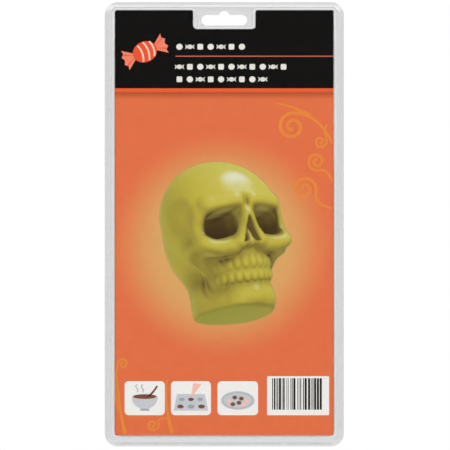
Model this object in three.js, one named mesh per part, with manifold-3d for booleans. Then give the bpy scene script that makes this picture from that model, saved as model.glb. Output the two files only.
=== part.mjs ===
// A retail pack with a skull mould for sweets. A clear clamshell, hinged along its bottom edge, holds a
// printed card behind a raised window. Behind the card lie two thin formed mould sheets, a face half below
// and a back-of-head half above, which fold together along the crease between them.
// Millimetres, +Z up, the front faces -Y. The origin is where a display peg bears in the hang slot.

import * as THREE from "three";
import { mergeVertices } from "three/addons/utils/BufferGeometryUtils.js";
import Module from "manifold-3d";

const wasm = await Module();
wasm.setup();

// Pack outline: flange widths run from the pack's edge to the card's edge
const packWidth = 127;
const packCornerRadius = 7;
const sideFlange = 5.3;
const topFlange = 4.3;
const bottomFlange = 5.8;

// Hang slot: a bar with round ends, and a hump in the middle that centres the peg
const slotWidth = 24.3;
const slotBarHeight = 5.7;
const slotBarBelowEdge = 6.7;
const slotHumpRadius = 2.9;
const slotHumpRise = 2.1;

// Sheets and the room left between pieces
const packSheet = 0.4;
const mouldSheet = 0.7;
const cardThickness = 0.45;
const cardFit = 0.5;
const cardEdgeGap = 0.2;
const trayFit = 0.5;
const seatGap = 0.3;

// Card and the raised window in front of it
const cardCornerRadius = 1.1;
const notchSideMargin = 4.3;
const notchBottomMargin = 1.9;
const notchCornerRadius = 2;
const windowRise = 2;
const windowFillet = 1.2;
const windowDraft = 0.25;

// Mould sheets
const mouldBelowNotch = 3;
const mouldBehindFlange = 0.5;
const mouldCornerRadius = 5;
const creaseGap = 0.6;
const beadInset = 5;
const beadWidth = 3;
const beadDepth = 1.6;
const beadCornerRadius = 10;

// Studs on the back half and the cups that they enter in the face half
const studRadius = 2.4;
const studTaper = 0.3;
const studHeight = 1.1;
const studFit = 0.3;
const studFromMiddle = 43;
const studFromEnd = 13;

// Skull relief: heights run from the flat base up to the crown
const skullHeight = 85;
const skullHalfWidth = 33;
const skullWidestAt = 55;
const skullBaseToEnd = 10;
const skullCrownToCrease = 11.15;
const faceDepth = 34;
const plainFaceShare = 0.92;
const headBackDepth = 31;
const baseWallDraft = 1.6;
const reliefRoundness = 2.3;

// Tray behind the mould
const ledgeWidth = 4;
const ledgeCornerRadius = 5.5;
const trayCornerRadius = 12;
const trayDraft = 2.2;
const trayBackFillet = 4;
const bulgeClearance = 1.2;
const panelRecess = 1.2;
const panelBorder = 11;
const panelBarHeight = 18;
const panelCornerRadius = 6;
const fluteRadius = 5;
const fluteBite = 1.9;
const fluteCount = 4;
const fluteTop = 8;

// Snap domes in the flange's top corners, and the beads along the bottom crease
const snapFromEdge = 3.3;
const snapRadius = 0.95;
const snapTaper = 0.1;
const snapHeight = 1;
const snapFit = 0.25;
const creaseBeadRadius = 0.7;
const creaseBeadFromEdge = 1.5;

// How finely round forms are drawn, and how far a cutting body runs past the face that it cuts
const CORNER_STEPS = 5;
const ROUND_SIDES = 20;
const SMALL_ROUND_SIDES = 14;
const SMALLEST_RADIUS = 0.15;
const SAME_POINT = 0.01;
const CUT_PAST = 1;

// Places that follow from the sizes above
const packTop = slotBarBelowEdge - slotHumpRise;
const slotBarMiddle = packTop - slotBarBelowEdge - slotBarHeight / 2;
const notchHalfWidth = slotWidth / 2 + notchSideMargin;
const notchBottom = slotBarMiddle - slotBarHeight / 2 - notchBottomMargin;
const mouldHalfLength = skullBaseToEnd + skullHeight + skullCrownToCrease;
const mouldTop = notchBottom - mouldBelowNotch;
const mouldBottom = mouldTop - 2 * mouldHalfLength - creaseGap;
const creaseHeight = (mouldTop + mouldBottom) / 2;
const cardTop = packTop - topFlange;
const cardBottom = mouldBottom;
const cardHalfWidth = packWidth / 2 - sideFlange;
const packBottom = cardBottom - bottomFlange;
// The card's edges stop in the window's fillet, just short of its face
const cardEdgeInFillet = windowFillet - cardFit + cardEdgeGap;
const cardSeat = windowFillet - Math.sqrt(windowFillet ** 2 - cardEdgeInFillet ** 2);
const cardFront = -windowRise + cardSeat;
const mouldHalfWidth = cardHalfWidth + cardFit - trayFit;
const ledgeDepth = mouldBehindFlange + mouldSheet;
const deepestBulge = mouldBehindFlange + faceDepth + mouldSheet;
const trayDepth = deepestBulge + bulgeClearance + panelRecess;

// A corner of an outline, in X and Z
const corner = (x, z, radius) => ({ at: new THREE.Vector2(x, z), radius });

// The points of a right-angled outline with rounded corners, moved outward by an offset. Each corner gives
// the same number of points whatever the offset, so that two offsets of one outline can be joined.
function roundedOutline(corners, offset = 0) {
  return corners.flatMap((here, i) => {
    const before = corners.at(i - 1).at;
    const after = corners[(i + 1) % corners.length].at;
    const into = here.at.clone().sub(before).normalize();
    const out = after.clone().sub(here.at).normalize();
    const turn = Math.sign(into.cross(out));
    const radius = Math.max(here.radius + turn * offset, SMALLEST_RADIUS);
    const centre = here.at
      .clone()
      .add(new THREE.Vector2(into.y + out.y, -into.x - out.x).multiplyScalar(offset))
      .addScaledVector(into, -radius)
      .addScaledVector(out, radius);
    return Array.from({ length: CORNER_STEPS + 1 }, (_, step) => {
      const angle = (step / CORNER_STEPS) * (Math.PI / 2);
      return centre
        .clone()
        .addScaledVector(out, -radius * Math.cos(angle))
        .addScaledVector(into, radius * Math.sin(angle));
    });
  });
}

function rectangle(halfWidth, bottom, top, radius) {
  return [
    corner(-halfWidth, bottom, radius),
    corner(halfWidth, bottom, radius),
    corner(halfWidth, top, radius),
    corner(-halfWidth, top, radius),
  ];
}

const packCorners = rectangle(packWidth / 2, packBottom, packTop, packCornerRadius);
const ledgeCorners = rectangle(
  mouldHalfWidth + trayFit,
  mouldBottom - trayFit,
  mouldTop + trayFit,
  ledgeCornerRadius,
);
const trayCorners = rectangle(
  mouldHalfWidth + trayFit - ledgeWidth,
  mouldBottom - trayFit + ledgeWidth,
  mouldTop + trayFit - ledgeWidth,
  trayCornerRadius,
);
const cardCorners = [
  corner(-cardHalfWidth, cardBottom, cardCornerRadius),
  corner(cardHalfWidth, cardBottom, cardCornerRadius),
  corner(cardHalfWidth, cardTop, cardCornerRadius),
  corner(notchHalfWidth, cardTop, cardCornerRadius),
  corner(notchHalfWidth, notchBottom, notchCornerRadius),
  corner(-notchHalfWidth, notchBottom, notchCornerRadius),
  corner(-notchHalfWidth, cardTop, cardCornerRadius),
  corner(-cardHalfWidth, cardTop, cardCornerRadius),
];

// A mesh's geometry as a solid that can be joined and cut
function solidOf(geometry) {
  const bare = geometry.clone();
  bare.deleteAttribute("normal");
  bare.deleteAttribute("uv");
  const merged = mergeVertices(bare, 1e-5);
  return new wasm.Manifold(
    new wasm.Mesh({
      numProp: 3,
      vertProperties: merged.attributes.position.array,
      triVerts: new Uint32Array(merged.index.array),
    }),
  );
}

function geometryOf(solid) {
  const { vertProperties, triVerts, numProp } = solid.getMesh();
  const positions = new Float32Array((vertProperties.length / numProp) * 3);
  for (let i = 0; i * 3 < positions.length; i++) {
    positions.set(vertProperties.subarray(i * numProp, i * numProp + 3), i * 3);
  }
  const geometry = new THREE.BufferGeometry();
  geometry.setAttribute("position", new THREE.BufferAttribute(positions, 3));
  geometry.setIndex(new THREE.BufferAttribute(triVerts, 1));
  geometry.computeVertexNormals();
  return geometry;
}

// A closed body through sections from front to back, each an outline of as many points at its own depth
function loft(sections) {
  const count = sections[0].points.length;
  const positions = sections.flatMap(({ y, points }) => points.flatMap((p) => [p.x, y, p.y]));
  const caps = THREE.ShapeUtils.triangulateShape(sections[0].points, []);
  const last = (sections.length - 1) * count;
  const index = caps.flatMap(([a, b, c]) => [a, b, c, last + a, last + c, last + b]);
  for (let s = 0; s < sections.length - 1; s++) {
    for (let i = 0; i < count; i++) {
      const a = s * count + i;
      const b = s * count + ((i + 1) % count);
      index.push(a, a + count, b + count, a, b + count, b);
    }
  }
  const geometry = new THREE.BufferGeometry();
  geometry.setAttribute("position", new THREE.Float32BufferAttribute(positions, 3));
  geometry.setIndex(index);
  return solidOf(geometry);
}

function plate(corners, offset, yFront, yBack) {
  const points = roundedOutline(corners, offset);
  return loft([
    { y: yFront, points },
    { y: yBack, points },
  ]);
}

// A ring that runs inside an outline, between two insets from it
function ring(corners, outerInset, innerInset, yFront, yBack) {
  const outer = plate(corners, -outerInset, yFront, yBack);
  return outer.subtract(plate(corners, -innerInset, yFront - CUT_PAST, yBack + CUT_PAST));
}

function frustum(frontRadius, backRadius, yFront, yBack, x, z, sides = ROUND_SIDES) {
  const length = yBack - yFront;
  const geometry = new THREE.CylinderGeometry(backRadius, frontRadius, length, sides);
  return solidOf(geometry.translate(x, yFront + length / 2, z));
}

// The hang slot as a body that runs through both flanges
function slotCutter() {
  const barRadius = slotBarHeight / 2;
  const barEnd = slotWidth / 2 - barRadius;
  const humpMiddle = barRadius + slotHumpRise - slotHumpRadius;
  const humpStart = Math.asin((barRadius - humpMiddle) / slotHumpRadius);
  const shape = new THREE.Shape();
  shape.moveTo(-barEnd, -barRadius);
  shape.absarc(barEnd, 0, barRadius, -Math.PI / 2, Math.PI / 2);
  shape.absarc(0, humpMiddle, slotHumpRadius, humpStart, Math.PI - humpStart);
  shape.absarc(-barEnd, 0, barRadius, Math.PI / 2, (Math.PI * 3) / 2);
  const points = shape.getPoints(CORNER_STEPS * 2).map((p) => p.clone().setY(p.y + slotBarMiddle));
  const distinct = points.filter((p, i) => p.distanceTo(points.at(i - 1)) > SAME_POINT);
  return loft([
    { y: -windowRise, points: distinct },
    { y: windowRise, points: distinct },
  ]);
}

// A half-round bead along the bottom crease, which stands out of one flange's outer face
function creaseBead(yFace, outward) {
  const length = packWidth - 2 * packCornerRadius - 2 * creaseBeadRadius;
  const bead = new THREE.CapsuleGeometry(creaseBeadRadius, length, CORNER_STEPS - 1, ROUND_SIDES / 2);
  const whole = solidOf(bead.rotateZ(Math.PI / 2).translate(0, yFace, packBottom + creaseBeadFromEdge));
  const inner = [yFace - outward * packSheet * 0.5, yFace - outward * 2 * creaseBeadRadius];
  return whole.subtract(plate(packCorners, CUT_PAST, Math.min(...inner), Math.max(...inner)));
}

const snapPlaces = [-1, 1].map((side) => ({
  x: side * (packWidth / 2 - snapFromEdge),
  z: packTop - snapFromEdge,
}));

// Front leaf: a flange with the hang slot, and a raised window that follows the card round its notch
function frontCover() {
  const windowSections = (offset, rise, fillet) =>
    Array.from({ length: CORNER_STEPS + 1 }, (_, i) => {
      const angle = (1 - i / CORNER_STEPS) * (Math.PI / 2);
      return {
        y: -rise + fillet * (1 - Math.sin(angle)),
        points: roundedOutline(cardCorners, offset - fillet * (1 - Math.cos(angle))),
      };
    });
  const outerFront = windowSections(cardFit + packSheet, windowRise + packSheet, windowFillet + packSheet);
  const innerFront = windowSections(cardFit, windowRise, windowFillet);
  const outer = loft([
    ...outerFront,
    { y: -packSheet / 2, points: roundedOutline(cardCorners, cardFit + packSheet + windowDraft) },
  ]);
  const inner = loft([
    ...innerFront,
    { y: packSheet, points: roundedOutline(cardCorners, cardFit + windowDraft) },
  ]);
  const sockets = snapPlaces.map(({ x, z }) => ({
    shell: frustum(
      snapRadius - snapTaper + snapFit + packSheet,
      snapRadius + snapFit + packSheet,
      -snapHeight - seatGap - packSheet,
      -packSheet / 2,
      x,
      z,
      SMALL_ROUND_SIDES,
    ),
    hollow: frustum(
      snapRadius - snapTaper + snapFit,
      snapRadius + snapFit,
      -snapHeight - seatGap,
      packSheet,
      x,
      z,
      SMALL_ROUND_SIDES,
    ),
  }));
  let cover = plate(packCorners, 0, -packSheet, 0).add(outer);
  cover = sockets.reduce((made, socket) => made.add(socket.shell), cover);
  cover = cover.add(creaseBead(-packSheet, -1)).subtract(inner).subtract(slotCutter());
  return sockets.reduce((made, socket) => made.subtract(socket.hollow), cover);
}

// Outlines of the tray's deep part at each depth: drafted walls, then a fillet into the back
function traySections(offset, depth, fillet, start) {
  const atBack = offset - trayDraft;
  const rounded = Array.from({ length: CORNER_STEPS + 1 }, (_, i) => {
    const angle = (i / CORNER_STEPS) * (Math.PI / 2);
    return {
      y: depth - fillet * (1 - Math.sin(angle)),
      points: roundedOutline(trayCorners, atBack - fillet * (1 - Math.cos(angle))),
    };
  });
  return [{ y: start, points: roundedOutline(trayCorners, offset) }, ...rounded];
}

// The forms pressed into the tray's walls and back: upright flutes at the sides and two recessed panels
function trayDents(sheet) {
  const wall = mouldHalfWidth + trayFit - ledgeWidth;
  const trayLength = mouldTop - mouldBottom;
  const pastBack = trayDepth + packSheet + CUT_PAST;
  const flutes = Array.from({ length: fluteCount }, (_, i) => {
    const z = mouldBottom + ((i + 0.5) / fluteCount) * trayLength;
    return [-1, 1].map((side) => {
      const x = side * (wall - fluteBite + fluteRadius);
      return frustum(fluteRadius + sheet, fluteRadius + sheet, fluteTop - sheet, pastBack, x, z);
    });
  }).flat();
  const back = trayDepth + packSheet - panelRecess - sheet;
  const border = ledgeWidth + panelBorder;
  const panels = [
    [mouldBottom + border, creaseHeight - panelBarHeight / 2],
    [creaseHeight + panelBarHeight / 2, mouldTop - border],
  ].map(([bottom, top]) => {
    const corners = rectangle(mouldHalfWidth - border, bottom, top, panelCornerRadius);
    return plate(corners, sheet, back, pastBack);
  });
  return [...flutes, ...panels];
}

// Back leaf: the flange, a shallow ledge that seats the mould sheets, and the deep tray behind it
function backShell() {
  const outerTray = trayDents(0).reduce(
    (made, dent) => made.subtract(dent),
    loft(traySections(packSheet, trayDepth + packSheet, trayBackFillet + packSheet, ledgeDepth)),
  );
  const innerTray = trayDents(packSheet).reduce(
    (made, dent) => made.subtract(dent),
    loft(traySections(0, trayDepth, trayBackFillet, ledgeDepth - packSheet)),
  );
  let shell = plate(packCorners, 0, 0, packSheet)
    .add(plate(ledgeCorners, packSheet, packSheet / 2, ledgeDepth + packSheet))
    .add(outerTray)
    .add(creaseBead(packSheet, 1));
  for (const { x, z } of snapPlaces) {
    shell = shell.add(
      frustum(snapRadius - snapTaper, snapRadius, -snapHeight, packSheet / 2, x, z, SMALL_ROUND_SIDES),
    );
  }
  return shell
    .subtract(plate(ledgeCorners, 0, -CUT_PAST, ledgeDepth))
    .subtract(innerTray)
    .subtract(slotCutter());
}

function printedCard() {
  return plate(cardCorners, 0, cardFront, cardFront + cardThickness);
}

// A smooth curve through a few (place, value) knots
function through(knots) {
  return (at) => {
    const last = knots.length - 1;
    const i = Math.min(Math.max(knots.findIndex(([place]) => place > at) - 1, 0), last - 1);
    const k = at >= knots[last][0] ? last - 1 : i;
    const [x0, y0] = knots[k];
    const [x1, y1] = knots[k + 1];
    const slope = (n) => {
      const [a, b] = [knots[Math.max(n - 1, 0)], knots[Math.min(n + 1, last)]];
      return (b[1] - a[1]) / (b[0] - a[0]);
    };
    const span = x1 - x0;
    const t = Math.min(Math.max((at - x0) / span, 0), 1);
    const [t2, t3] = [t * t, t * t * t];
    return (
      (2 * t3 - 3 * t2 + 1) * y0 +
      (t3 - 2 * t2 + t) * span * slope(k) +
      (3 * t2 - 2 * t3) * y1 +
      (t3 - t2) * span * slope(k + 1)
    );
  };
}

// The skull's outline below its widest height, from the flat base up over jaw and cheekbone: shares of its
// half width at shares of the widest height
const lowerOutline = through([
  [0, 0.59],
  [0.18, 0.66],
  [0.36, 0.7],
  [0.51, 0.77],
  [0.65, 0.885],
  [0.75, 0.93],
  [0.85, 0.94],
  [1, 1],
]);

// How far the middle of the face, and of the back of the head, stand out: shares of the full depth, again at
// shares of the widest height
const faceProfile = through([
  [0, 0.76],
  [0.09, 0.79],
  [0.18, 0.93],
  [0.25, 0.96],
  [0.33, 0.92],
  [0.44, 0.98],
  [0.56, 0.96],
  [0.69, 0.91],
  [0.82, 0.89],
  [0.91, 0.91],
  [1, 1],
]);
const headBackProfile = through([
  [0, 0.5],
  [0.22, 0.52],
  [0.45, 0.66],
  [0.73, 0.9],
  [1, 1],
]);

// The crown is a quarter of an ellipse, both in outline and in profile
const crownFall = (v) => {
  const rise = (v - skullWidestAt) / (skullHeight - skullWidestAt);
  return Math.sqrt(Math.max(1 - rise ** 2, 0));
};
const belowCrown = (profile, v) => (v < skullWidestAt ? profile(v / skullWidestAt) : crownFall(v));
const halfWidthAt = (v) => skullHalfWidth * belowCrown(lowerOutline, v);
const smoothStep = (low, high, value) => {
  const t = Math.min(Math.max((value - low) / (high - low), 0), 1);
  return t * t * (3 - 2 * t);
};
const bell = (offset, width) => Math.exp(-((offset / width) ** 2));

// Face features: places are across (x) and up (v) from the middle of the flat base, and each is on both sides
const swells = {
  cheekbone: { x: 23, v: 38.6, width: 6.5, height: 4.2, rise: 5 },
  noseBridge: { x: 0, v: 47.5, width: 3, height: 6, rise: 3.6 },
  jawRoundTeeth: { x: 0, v: 27, width: 13, height: 8, rise: 2.2 },
  chin: { x: 0, v: 12.5, width: 8, height: 4, rise: 2.2 },
  hollowCheek: { x: 20, v: 28, width: 5, height: 6, rise: -4.8 },
  temple: { x: 28.5, v: 53, width: 6, height: 6, rise: -3 },
};
const brow = { v: 57.6, sag: 0.01, innerEdge: [0.5, 4], outerEdge: [20, 26], height: 3, rise: 3.4 };
const socket = { x: 12.9, v: 47.2, halfWidth: 9.8, halfHeight: 8.4, tilt: 0.06, squareness: 3.2, depth: 14 };
const nose = { bottom: 33.5, top: 45.5, halfWidth: 5.4, topShare: 0.18, depth: 8.5 };
const teeth = { bottom: 17, top: 30, rise: 0.9, bite: 23.4, biteWidth: 1.1, biteGroove: 1.8 };
const toothGaps = { columns: 3, lastColumn: 12, depth: 1.6 };

function browRise(x, v) {
  const line = brow.v - brow.sag * (x - socket.x) ** 2;
  const along = smoothStep(...brow.innerEdge, x) * (1 - smoothStep(...brow.outerEdge, x));
  return brow.rise * along * bell(v - line, brow.height);
}

// A rounded square with sloping walls
function socketDent(x, v) {
  const across = Math.abs(x - socket.x) / socket.halfWidth;
  const up = Math.abs(v - socket.v + socket.tilt * (x - socket.x)) / socket.halfHeight;
  const radius = (across ** socket.squareness + up ** socket.squareness) ** (1 / socket.squareness);
  return socket.depth * (1 - smoothStep(0.5, 1.1, radius));
}

// A three-cornered opening, narrow at the top
function noseDent(x, v) {
  const rise = (v - nose.bottom) / (nose.top - nose.bottom);
  const narrowing = (1 - nose.topShare) * Math.min(Math.max(rise, 0), 1);
  const inside = 1 - smoothStep(0.55, 1.25, x / (nose.halfWidth * (1 - narrowing)));
  return nose.depth * inside * smoothStep(-0.2, 0.12, rise) * (1 - smoothStep(0.85, 1.1, rise));
}

// Two rows of teeth. The gaps between them fall on the grid's own columns.
function teethRelief(column, v) {
  const inRows = smoothStep(-1.5, 1, v - teeth.bottom) * (1 - smoothStep(-2, 2, v - teeth.top));
  const inArch = 1 - smoothStep(-2, 1, Math.abs(column) - toothGaps.lastColumn);
  const gap = column % toothGaps.columns === 0 ? toothGaps.depth : 0;
  return inRows * inArch * (teeth.rise - gap - teeth.biteGroove * bell(v - teeth.bite, teeth.biteWidth));
}

// How far out a section stands at a share of its half width
const sectionRound = (share) => Math.sqrt(Math.max(1 - Math.abs(share) ** reliefRoundness, 0));

function faceRelief(x, v, share, column) {
  const side = Math.abs(x);
  const plain = faceDepth * plainFaceShare * belowCrown(faceProfile, v) * sectionRound(share);
  const swelling = Object.values(swells).reduce(
    (sum, { x: middle, v: level, width, height, rise }) =>
      sum + rise * bell(side - middle, width) * bell(v - level, height),
    0,
  );
  const features =
    swelling + browRise(side, v) + teethRelief(column, v) - socketDent(side, v) - noseDent(side, v);
  const awayFromRim = smoothStep(0, 0.25, 1 - Math.abs(share));
  return Math.min(plain + features * awayFromRim, faceDepth);
}

function headBackRelief(x, v, share) {
  return headBackDepth * belowCrown(headBackProfile, v) * sectionRound(share);
}

// Columns of each half's grid, as shares of the half width: even in the middle, closing in on the rim
const faceGrid = { inner: 12, innerShare: 0.84, edges: [0.91, 0.96, 0.99, 1], rowStep: 2, crownRows: 12 };
const headBackGrid = { inner: 5, innerShare: 0.7, edges: [0.86, 0.95, 1], rowStep: 4.5, crownRows: 8 };

// Heights of a grid's rows: close together up the steep base wall, then even, then closing in on the crown
function rowHeights({ rowStep, crownRows }) {
  const evenHeight = skullWidestAt - baseWallDraft;
  const even = Math.round(evenHeight / rowStep);
  return [
    0,
    baseWallDraft / 3,
    ...Array.from({ length: even + 1 }, (_, i) => baseWallDraft + (i / even) * evenHeight),
    ...Array.from({ length: crownRows - 1 }, (_, i) => {
      const angle = ((i + 1) / crownRows) * (Math.PI / 2);
      return skullWidestAt + (skullHeight - skullWidestAt) * Math.sin(angle);
    }),
  ];
}

// A skull half as a solid: the relief's surface moved outward by `grow`, closed in front by a flat cap.
// Its own axes are across, depth away from the sheet's front face, and height above the flat base.
function reliefSolid(relief, grid, grow, rimDepth, capDepth) {
  const columns = [];
  for (let i = -grid.inner; i <= grid.inner; i++) {
    columns.push([i, (i / grid.inner) * grid.innerShare]);
  }
  grid.edges.forEach((share, i) => {
    columns.unshift([-grid.inner - i - 1, -share]);
    columns.push([grid.inner + i + 1, share]);
  });
  const rows = rowHeights(grid);
  const [across, up] = [columns.length, rows.length];
  const pointAt = (v, [column, share]) => {
    const x = share * halfWidthAt(v);
    const wall = Math.sqrt(Math.min(v / baseWallDraft, 1));
    const depth = Math.abs(share) === 1 ? 0 : relief(x, v, share, column) * wall;
    return new THREE.Vector3(x, depth, v);
  };
  const surface = rows.flatMap((v) => columns.map((column) => pointAt(v, column)));
  const pole = surface.length;
  surface.push(new THREE.Vector3(0, 0, skullHeight));
  const faces = [];
  for (let r = 0; r < up - 1; r++) {
    for (let c = 0; c < across - 1; c++) {
      const a = r * across + c;
      faces.push(a, a + across, a + 1, a + 1, a + across, a + across + 1);
    }
  }
  const topRow = (up - 1) * across;
  for (let c = 0; c < across - 1; c++) faces.push(topRow + c, pole, topRow + c + 1);

  // The rim, once round against the clock: along the base, up one side, over the crown and down again
  const rim = [
    ...columns.map((_, c) => c),
    ...rows.slice(1).map((_, r) => (r + 1) * across + across - 1),
    pole,
    ...rows.slice(1).map((_, r) => (up - 1 - r) * across),
  ];
  const meshOf = (points) => {
    const geometry = new THREE.BufferGeometry();
    const positions = points.flatMap((p) => p.toArray());
    return geometry.setAttribute("position", new THREE.Float32BufferAttribute(positions, 3)).setIndex(faces);
  };
  const open = meshOf(surface);
  open.computeVertexNormals();
  const normals = open.getAttribute("normal");
  const onRim = new Set(rim);
  surface.forEach((p, i) => {
    const normal = new THREE.Vector3().fromBufferAttribute(normals, i);
    if (onRim.has(i)) normal.setY(0).normalize();
    p.addScaledVector(normal, grow);
    if (onRim.has(i)) p.setY(rimDepth);
  });
  const first = surface.length;
  rim.forEach((i) => surface.push(surface[i].clone().setY(capDepth)));
  const cap = THREE.ShapeUtils.triangulateShape(
    rim.map((i) => new THREE.Vector2(surface[i].x, surface[i].z)),
    [],
  );
  cap.forEach(([a, b, c]) => faces.push(first + a, first + b, first + c));
  rim.forEach((i, n) => {
    const next = (n + 1) % rim.length;
    faces.push(first + n, i, rim[next], first + n, rim[next], first + next);
  });
  return meshOf(surface);
}

// A hollow stud, as the body to add and the body to take away
function studForms(yFront, yBack, x, z) {
  const tip = yFront - studHeight;
  const hollow = studRadius - mouldSheet;
  return [
    frustum(studRadius - studTaper, studRadius, tip, yBack - mouldSheet / 2, x, z),
    frustum(hollow - studTaper, hollow, tip + mouldSheet, yBack + CUT_PAST, x, z),
  ];
}

// The cup that a stud enters when the mould is folded, in the same form
function cupForms(yFront, x, z) {
  const hole = studRadius + studFit;
  const outer = hole + mouldSheet;
  const floor = yFront + studHeight + seatGap;
  return [
    frustum(outer, outer - studTaper, yFront + mouldSheet / 2, floor + mouldSheet, x, z),
    frustum(hole, hole - studTaper, yFront - CUT_PAST, floor, x, z),
  ];
}

// One mould sheet with its cavity, its stiffening bead and its studs or cups. It is drawn with the flat
// base at the bottom; `turned` puts it the other way up, above the crease, with the studs.
function mouldHalf(relief, grid, turned) {
  const yFront = mouldBehindFlange;
  const yBack = mouldBehindFlange + mouldSheet;
  const [bottom, top] = turned
    ? [creaseHeight + creaseGap / 2, mouldTop]
    : [mouldBottom, creaseHeight - creaseGap / 2];
  const corners = rectangle(mouldHalfWidth, bottom, top, mouldCornerRadius);
  const place = (geometry) => {
    if (turned) geometry.rotateY(Math.PI);
    return solidOf(geometry.translate(0, yFront, turned ? top - skullBaseToEnd : bottom + skullBaseToEnd));
  };
  const bulge = place(reliefSolid(relief, grid, mouldSheet, mouldSheet / 2, mouldSheet / 4));
  const cavity = place(reliefSolid(relief, grid, 0, 0, -CUT_PAST));
  const beadCorners = rectangle(
    mouldHalfWidth - beadInset,
    bottom + beadInset,
    top - beadInset,
    beadCornerRadius,
  );
  const bead = ring(beadCorners, 0, beadWidth, yFront + mouldSheet / 2, yBack + beadDepth);
  const grooveFront = yFront - CUT_PAST;
  const groove = ring(beadCorners, mouldSheet, beadWidth - mouldSheet, grooveFront, yFront + beadDepth);
  let sheet = plate(corners, 0, yFront, yBack).add(bulge).add(bead).subtract(cavity).subtract(groove);
  for (const x of [-studFromMiddle, studFromMiddle]) {
    for (const z of [bottom + studFromEnd, top - studFromEnd]) {
      const [body, hollow] = turned ? studForms(yFront, yBack, x, z) : cupForms(yFront, x, z);
      sheet = sheet.add(body).subtract(hollow);
    }
  }
  return sheet;
}

function piece(name, solid, colour, roughness, opacity = 1) {
  const material = new THREE.MeshStandardMaterial({ color: colour, roughness, metalness: 0 });
  material.opacity = opacity;
  material.transparent = opacity < 1;
  const mesh = new THREE.Mesh(geometryOf(solid), material);
  mesh.name = name;
  return mesh;
}

const group = new THREE.Group();
group.add(
  piece("back_shell", backShell(), 0xd3d5d6, 0.12, 0.35),
  piece("front_cover", frontCover(), 0xd3d5d6, 0.1, 0.3),
  piece("printed_card", printedCard(), 0xdc6e3c, 0.55),
  piece("mould_face_half", mouldHalf(faceRelief, faceGrid, false), 0xe4e8ea, 0.2, 0.5),
  piece("mould_back_half", mouldHalf(headBackRelief, headBackGrid, true), 0xe4e8ea, 0.2, 0.5),
);

export default group;
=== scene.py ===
"""Looks for a folding skull mould in its clear retail pack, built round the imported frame.

The pack hangs upright with its printed front towards -Y. Sizes are in millimetres until a mesh is made.
"""

import math
import random

import bpy
import numpy as np
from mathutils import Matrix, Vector
from mathutils.geometry import tessellate_polygon


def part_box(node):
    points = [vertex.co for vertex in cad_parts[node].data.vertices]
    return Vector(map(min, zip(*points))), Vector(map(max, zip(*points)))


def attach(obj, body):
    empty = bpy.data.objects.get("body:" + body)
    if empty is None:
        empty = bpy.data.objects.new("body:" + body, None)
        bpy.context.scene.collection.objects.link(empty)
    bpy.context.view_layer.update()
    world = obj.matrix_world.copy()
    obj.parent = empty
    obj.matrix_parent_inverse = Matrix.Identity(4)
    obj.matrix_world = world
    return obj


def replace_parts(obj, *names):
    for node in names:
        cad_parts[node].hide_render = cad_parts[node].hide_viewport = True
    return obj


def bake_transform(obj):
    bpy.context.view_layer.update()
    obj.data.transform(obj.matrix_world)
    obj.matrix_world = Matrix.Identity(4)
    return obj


MM = 0.001

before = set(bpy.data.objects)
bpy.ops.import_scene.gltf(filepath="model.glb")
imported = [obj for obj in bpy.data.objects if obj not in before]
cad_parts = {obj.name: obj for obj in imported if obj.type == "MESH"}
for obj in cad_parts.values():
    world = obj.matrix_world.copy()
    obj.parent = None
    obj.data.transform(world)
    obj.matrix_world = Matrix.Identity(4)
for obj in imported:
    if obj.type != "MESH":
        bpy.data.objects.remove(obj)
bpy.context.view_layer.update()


def box_mm(node):
    """A node's lowest and highest corner, in millimetres."""
    return tuple(np.array(corner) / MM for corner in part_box(node))


cover_low, cover_high = box_mm("front_cover")
shell_high = box_mm("back_shell")[1]
card_low, card_high = box_mm("printed_card")
face_low, face_high = box_mm("mould_face_half")
back_low, back_high = box_mm("mould_back_half")

# The photo's frame: its side in pixels, its scale, and the place on the card at its middle
PHOTO_SIDE = 450
PHOTO_MIDDLE = PHOTO_SIDE / 2
MM_PER_PIXEL = 0.5314
VIEW_X, VIEW_Z = 0.37, -113.77

# Sheets and clearances
PACK_SHEET = 0.4
MOULD_SHEET = 0.7
SHARP_ABOVE = math.radians(40)
CARD_FIT = 0.5
TRAY_FIT = 0.5

# Outlines
PACK_CORNER = 7.0
CARD_CORNER = 1.1
CARD_CHAMFER = 0.05
NOTCH_CORNER = 2.0
NOTCH_HALF_WIDTH = 16.45
NOTCH_BOTTOM = -9.7
SLOT_HALF_WIDTH = 12.15
SLOT_BAR_RADIUS = 2.85
SLOT_BAR_MIDDLE = -4.95
SLOT_HUMP_RADIUS = 2.9
SLOT_HUMP_RISE = 2.1

# Raised window
WINDOW_FILLET = 1.6
WINDOW_DRAFT = 0.25
WINDOW_FOOT = 0.5

# Ridge along the pack's crease: its half width, and how much of its round side is made
CREASE_BEAD = 0.55
BEAD_FROM_CREASE = 1.5
BEAD_END_SLACK = 0.05
BEAD_SHARE = 0.7

# Tray
LEDGE_DEPTH = 1.2
LEDGE_WIDTH = 4.0
LEDGE_CORNER = 5.5
LEDGE_ROUND = 0.4
TRAY_LIP = 1.2
TRAY_CORNER = 12.0
TRAY_DRAFT = 2.2
TRAY_FILLET = 4.0
PANEL_BORDER = 15.0
PANEL_RECESS = 1.2
PANEL_BAR = 18.0
PANEL_CORNER = 6.0
FLUTE_RADIUS = 5.0
FLUTE_BITE = 1.9
FLUTE_EASE = 1.2
FLUTE_COUNT = 4
FLUTE_TOP = 8.0
FLUTE_SIDE = 0.6
SIDE_STEPS, END_STEPS = 110, 12
WALL_DEPTHS = (4.5, 6.8, 7.2, 7.6, 8.0, 8.4, 8.8, 9.4, 12, 20)

# Snap domes
SNAP_FROM_EDGE = 3.3
SNAP_RADIUS = 0.95
SNAP_HEIGHT = 1.0
SNAP_SOCKET_WIDER = 0.65
SNAP_UNDER_SOCKET = 0.95
SNAP_ARC = math.radians(80)

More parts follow.
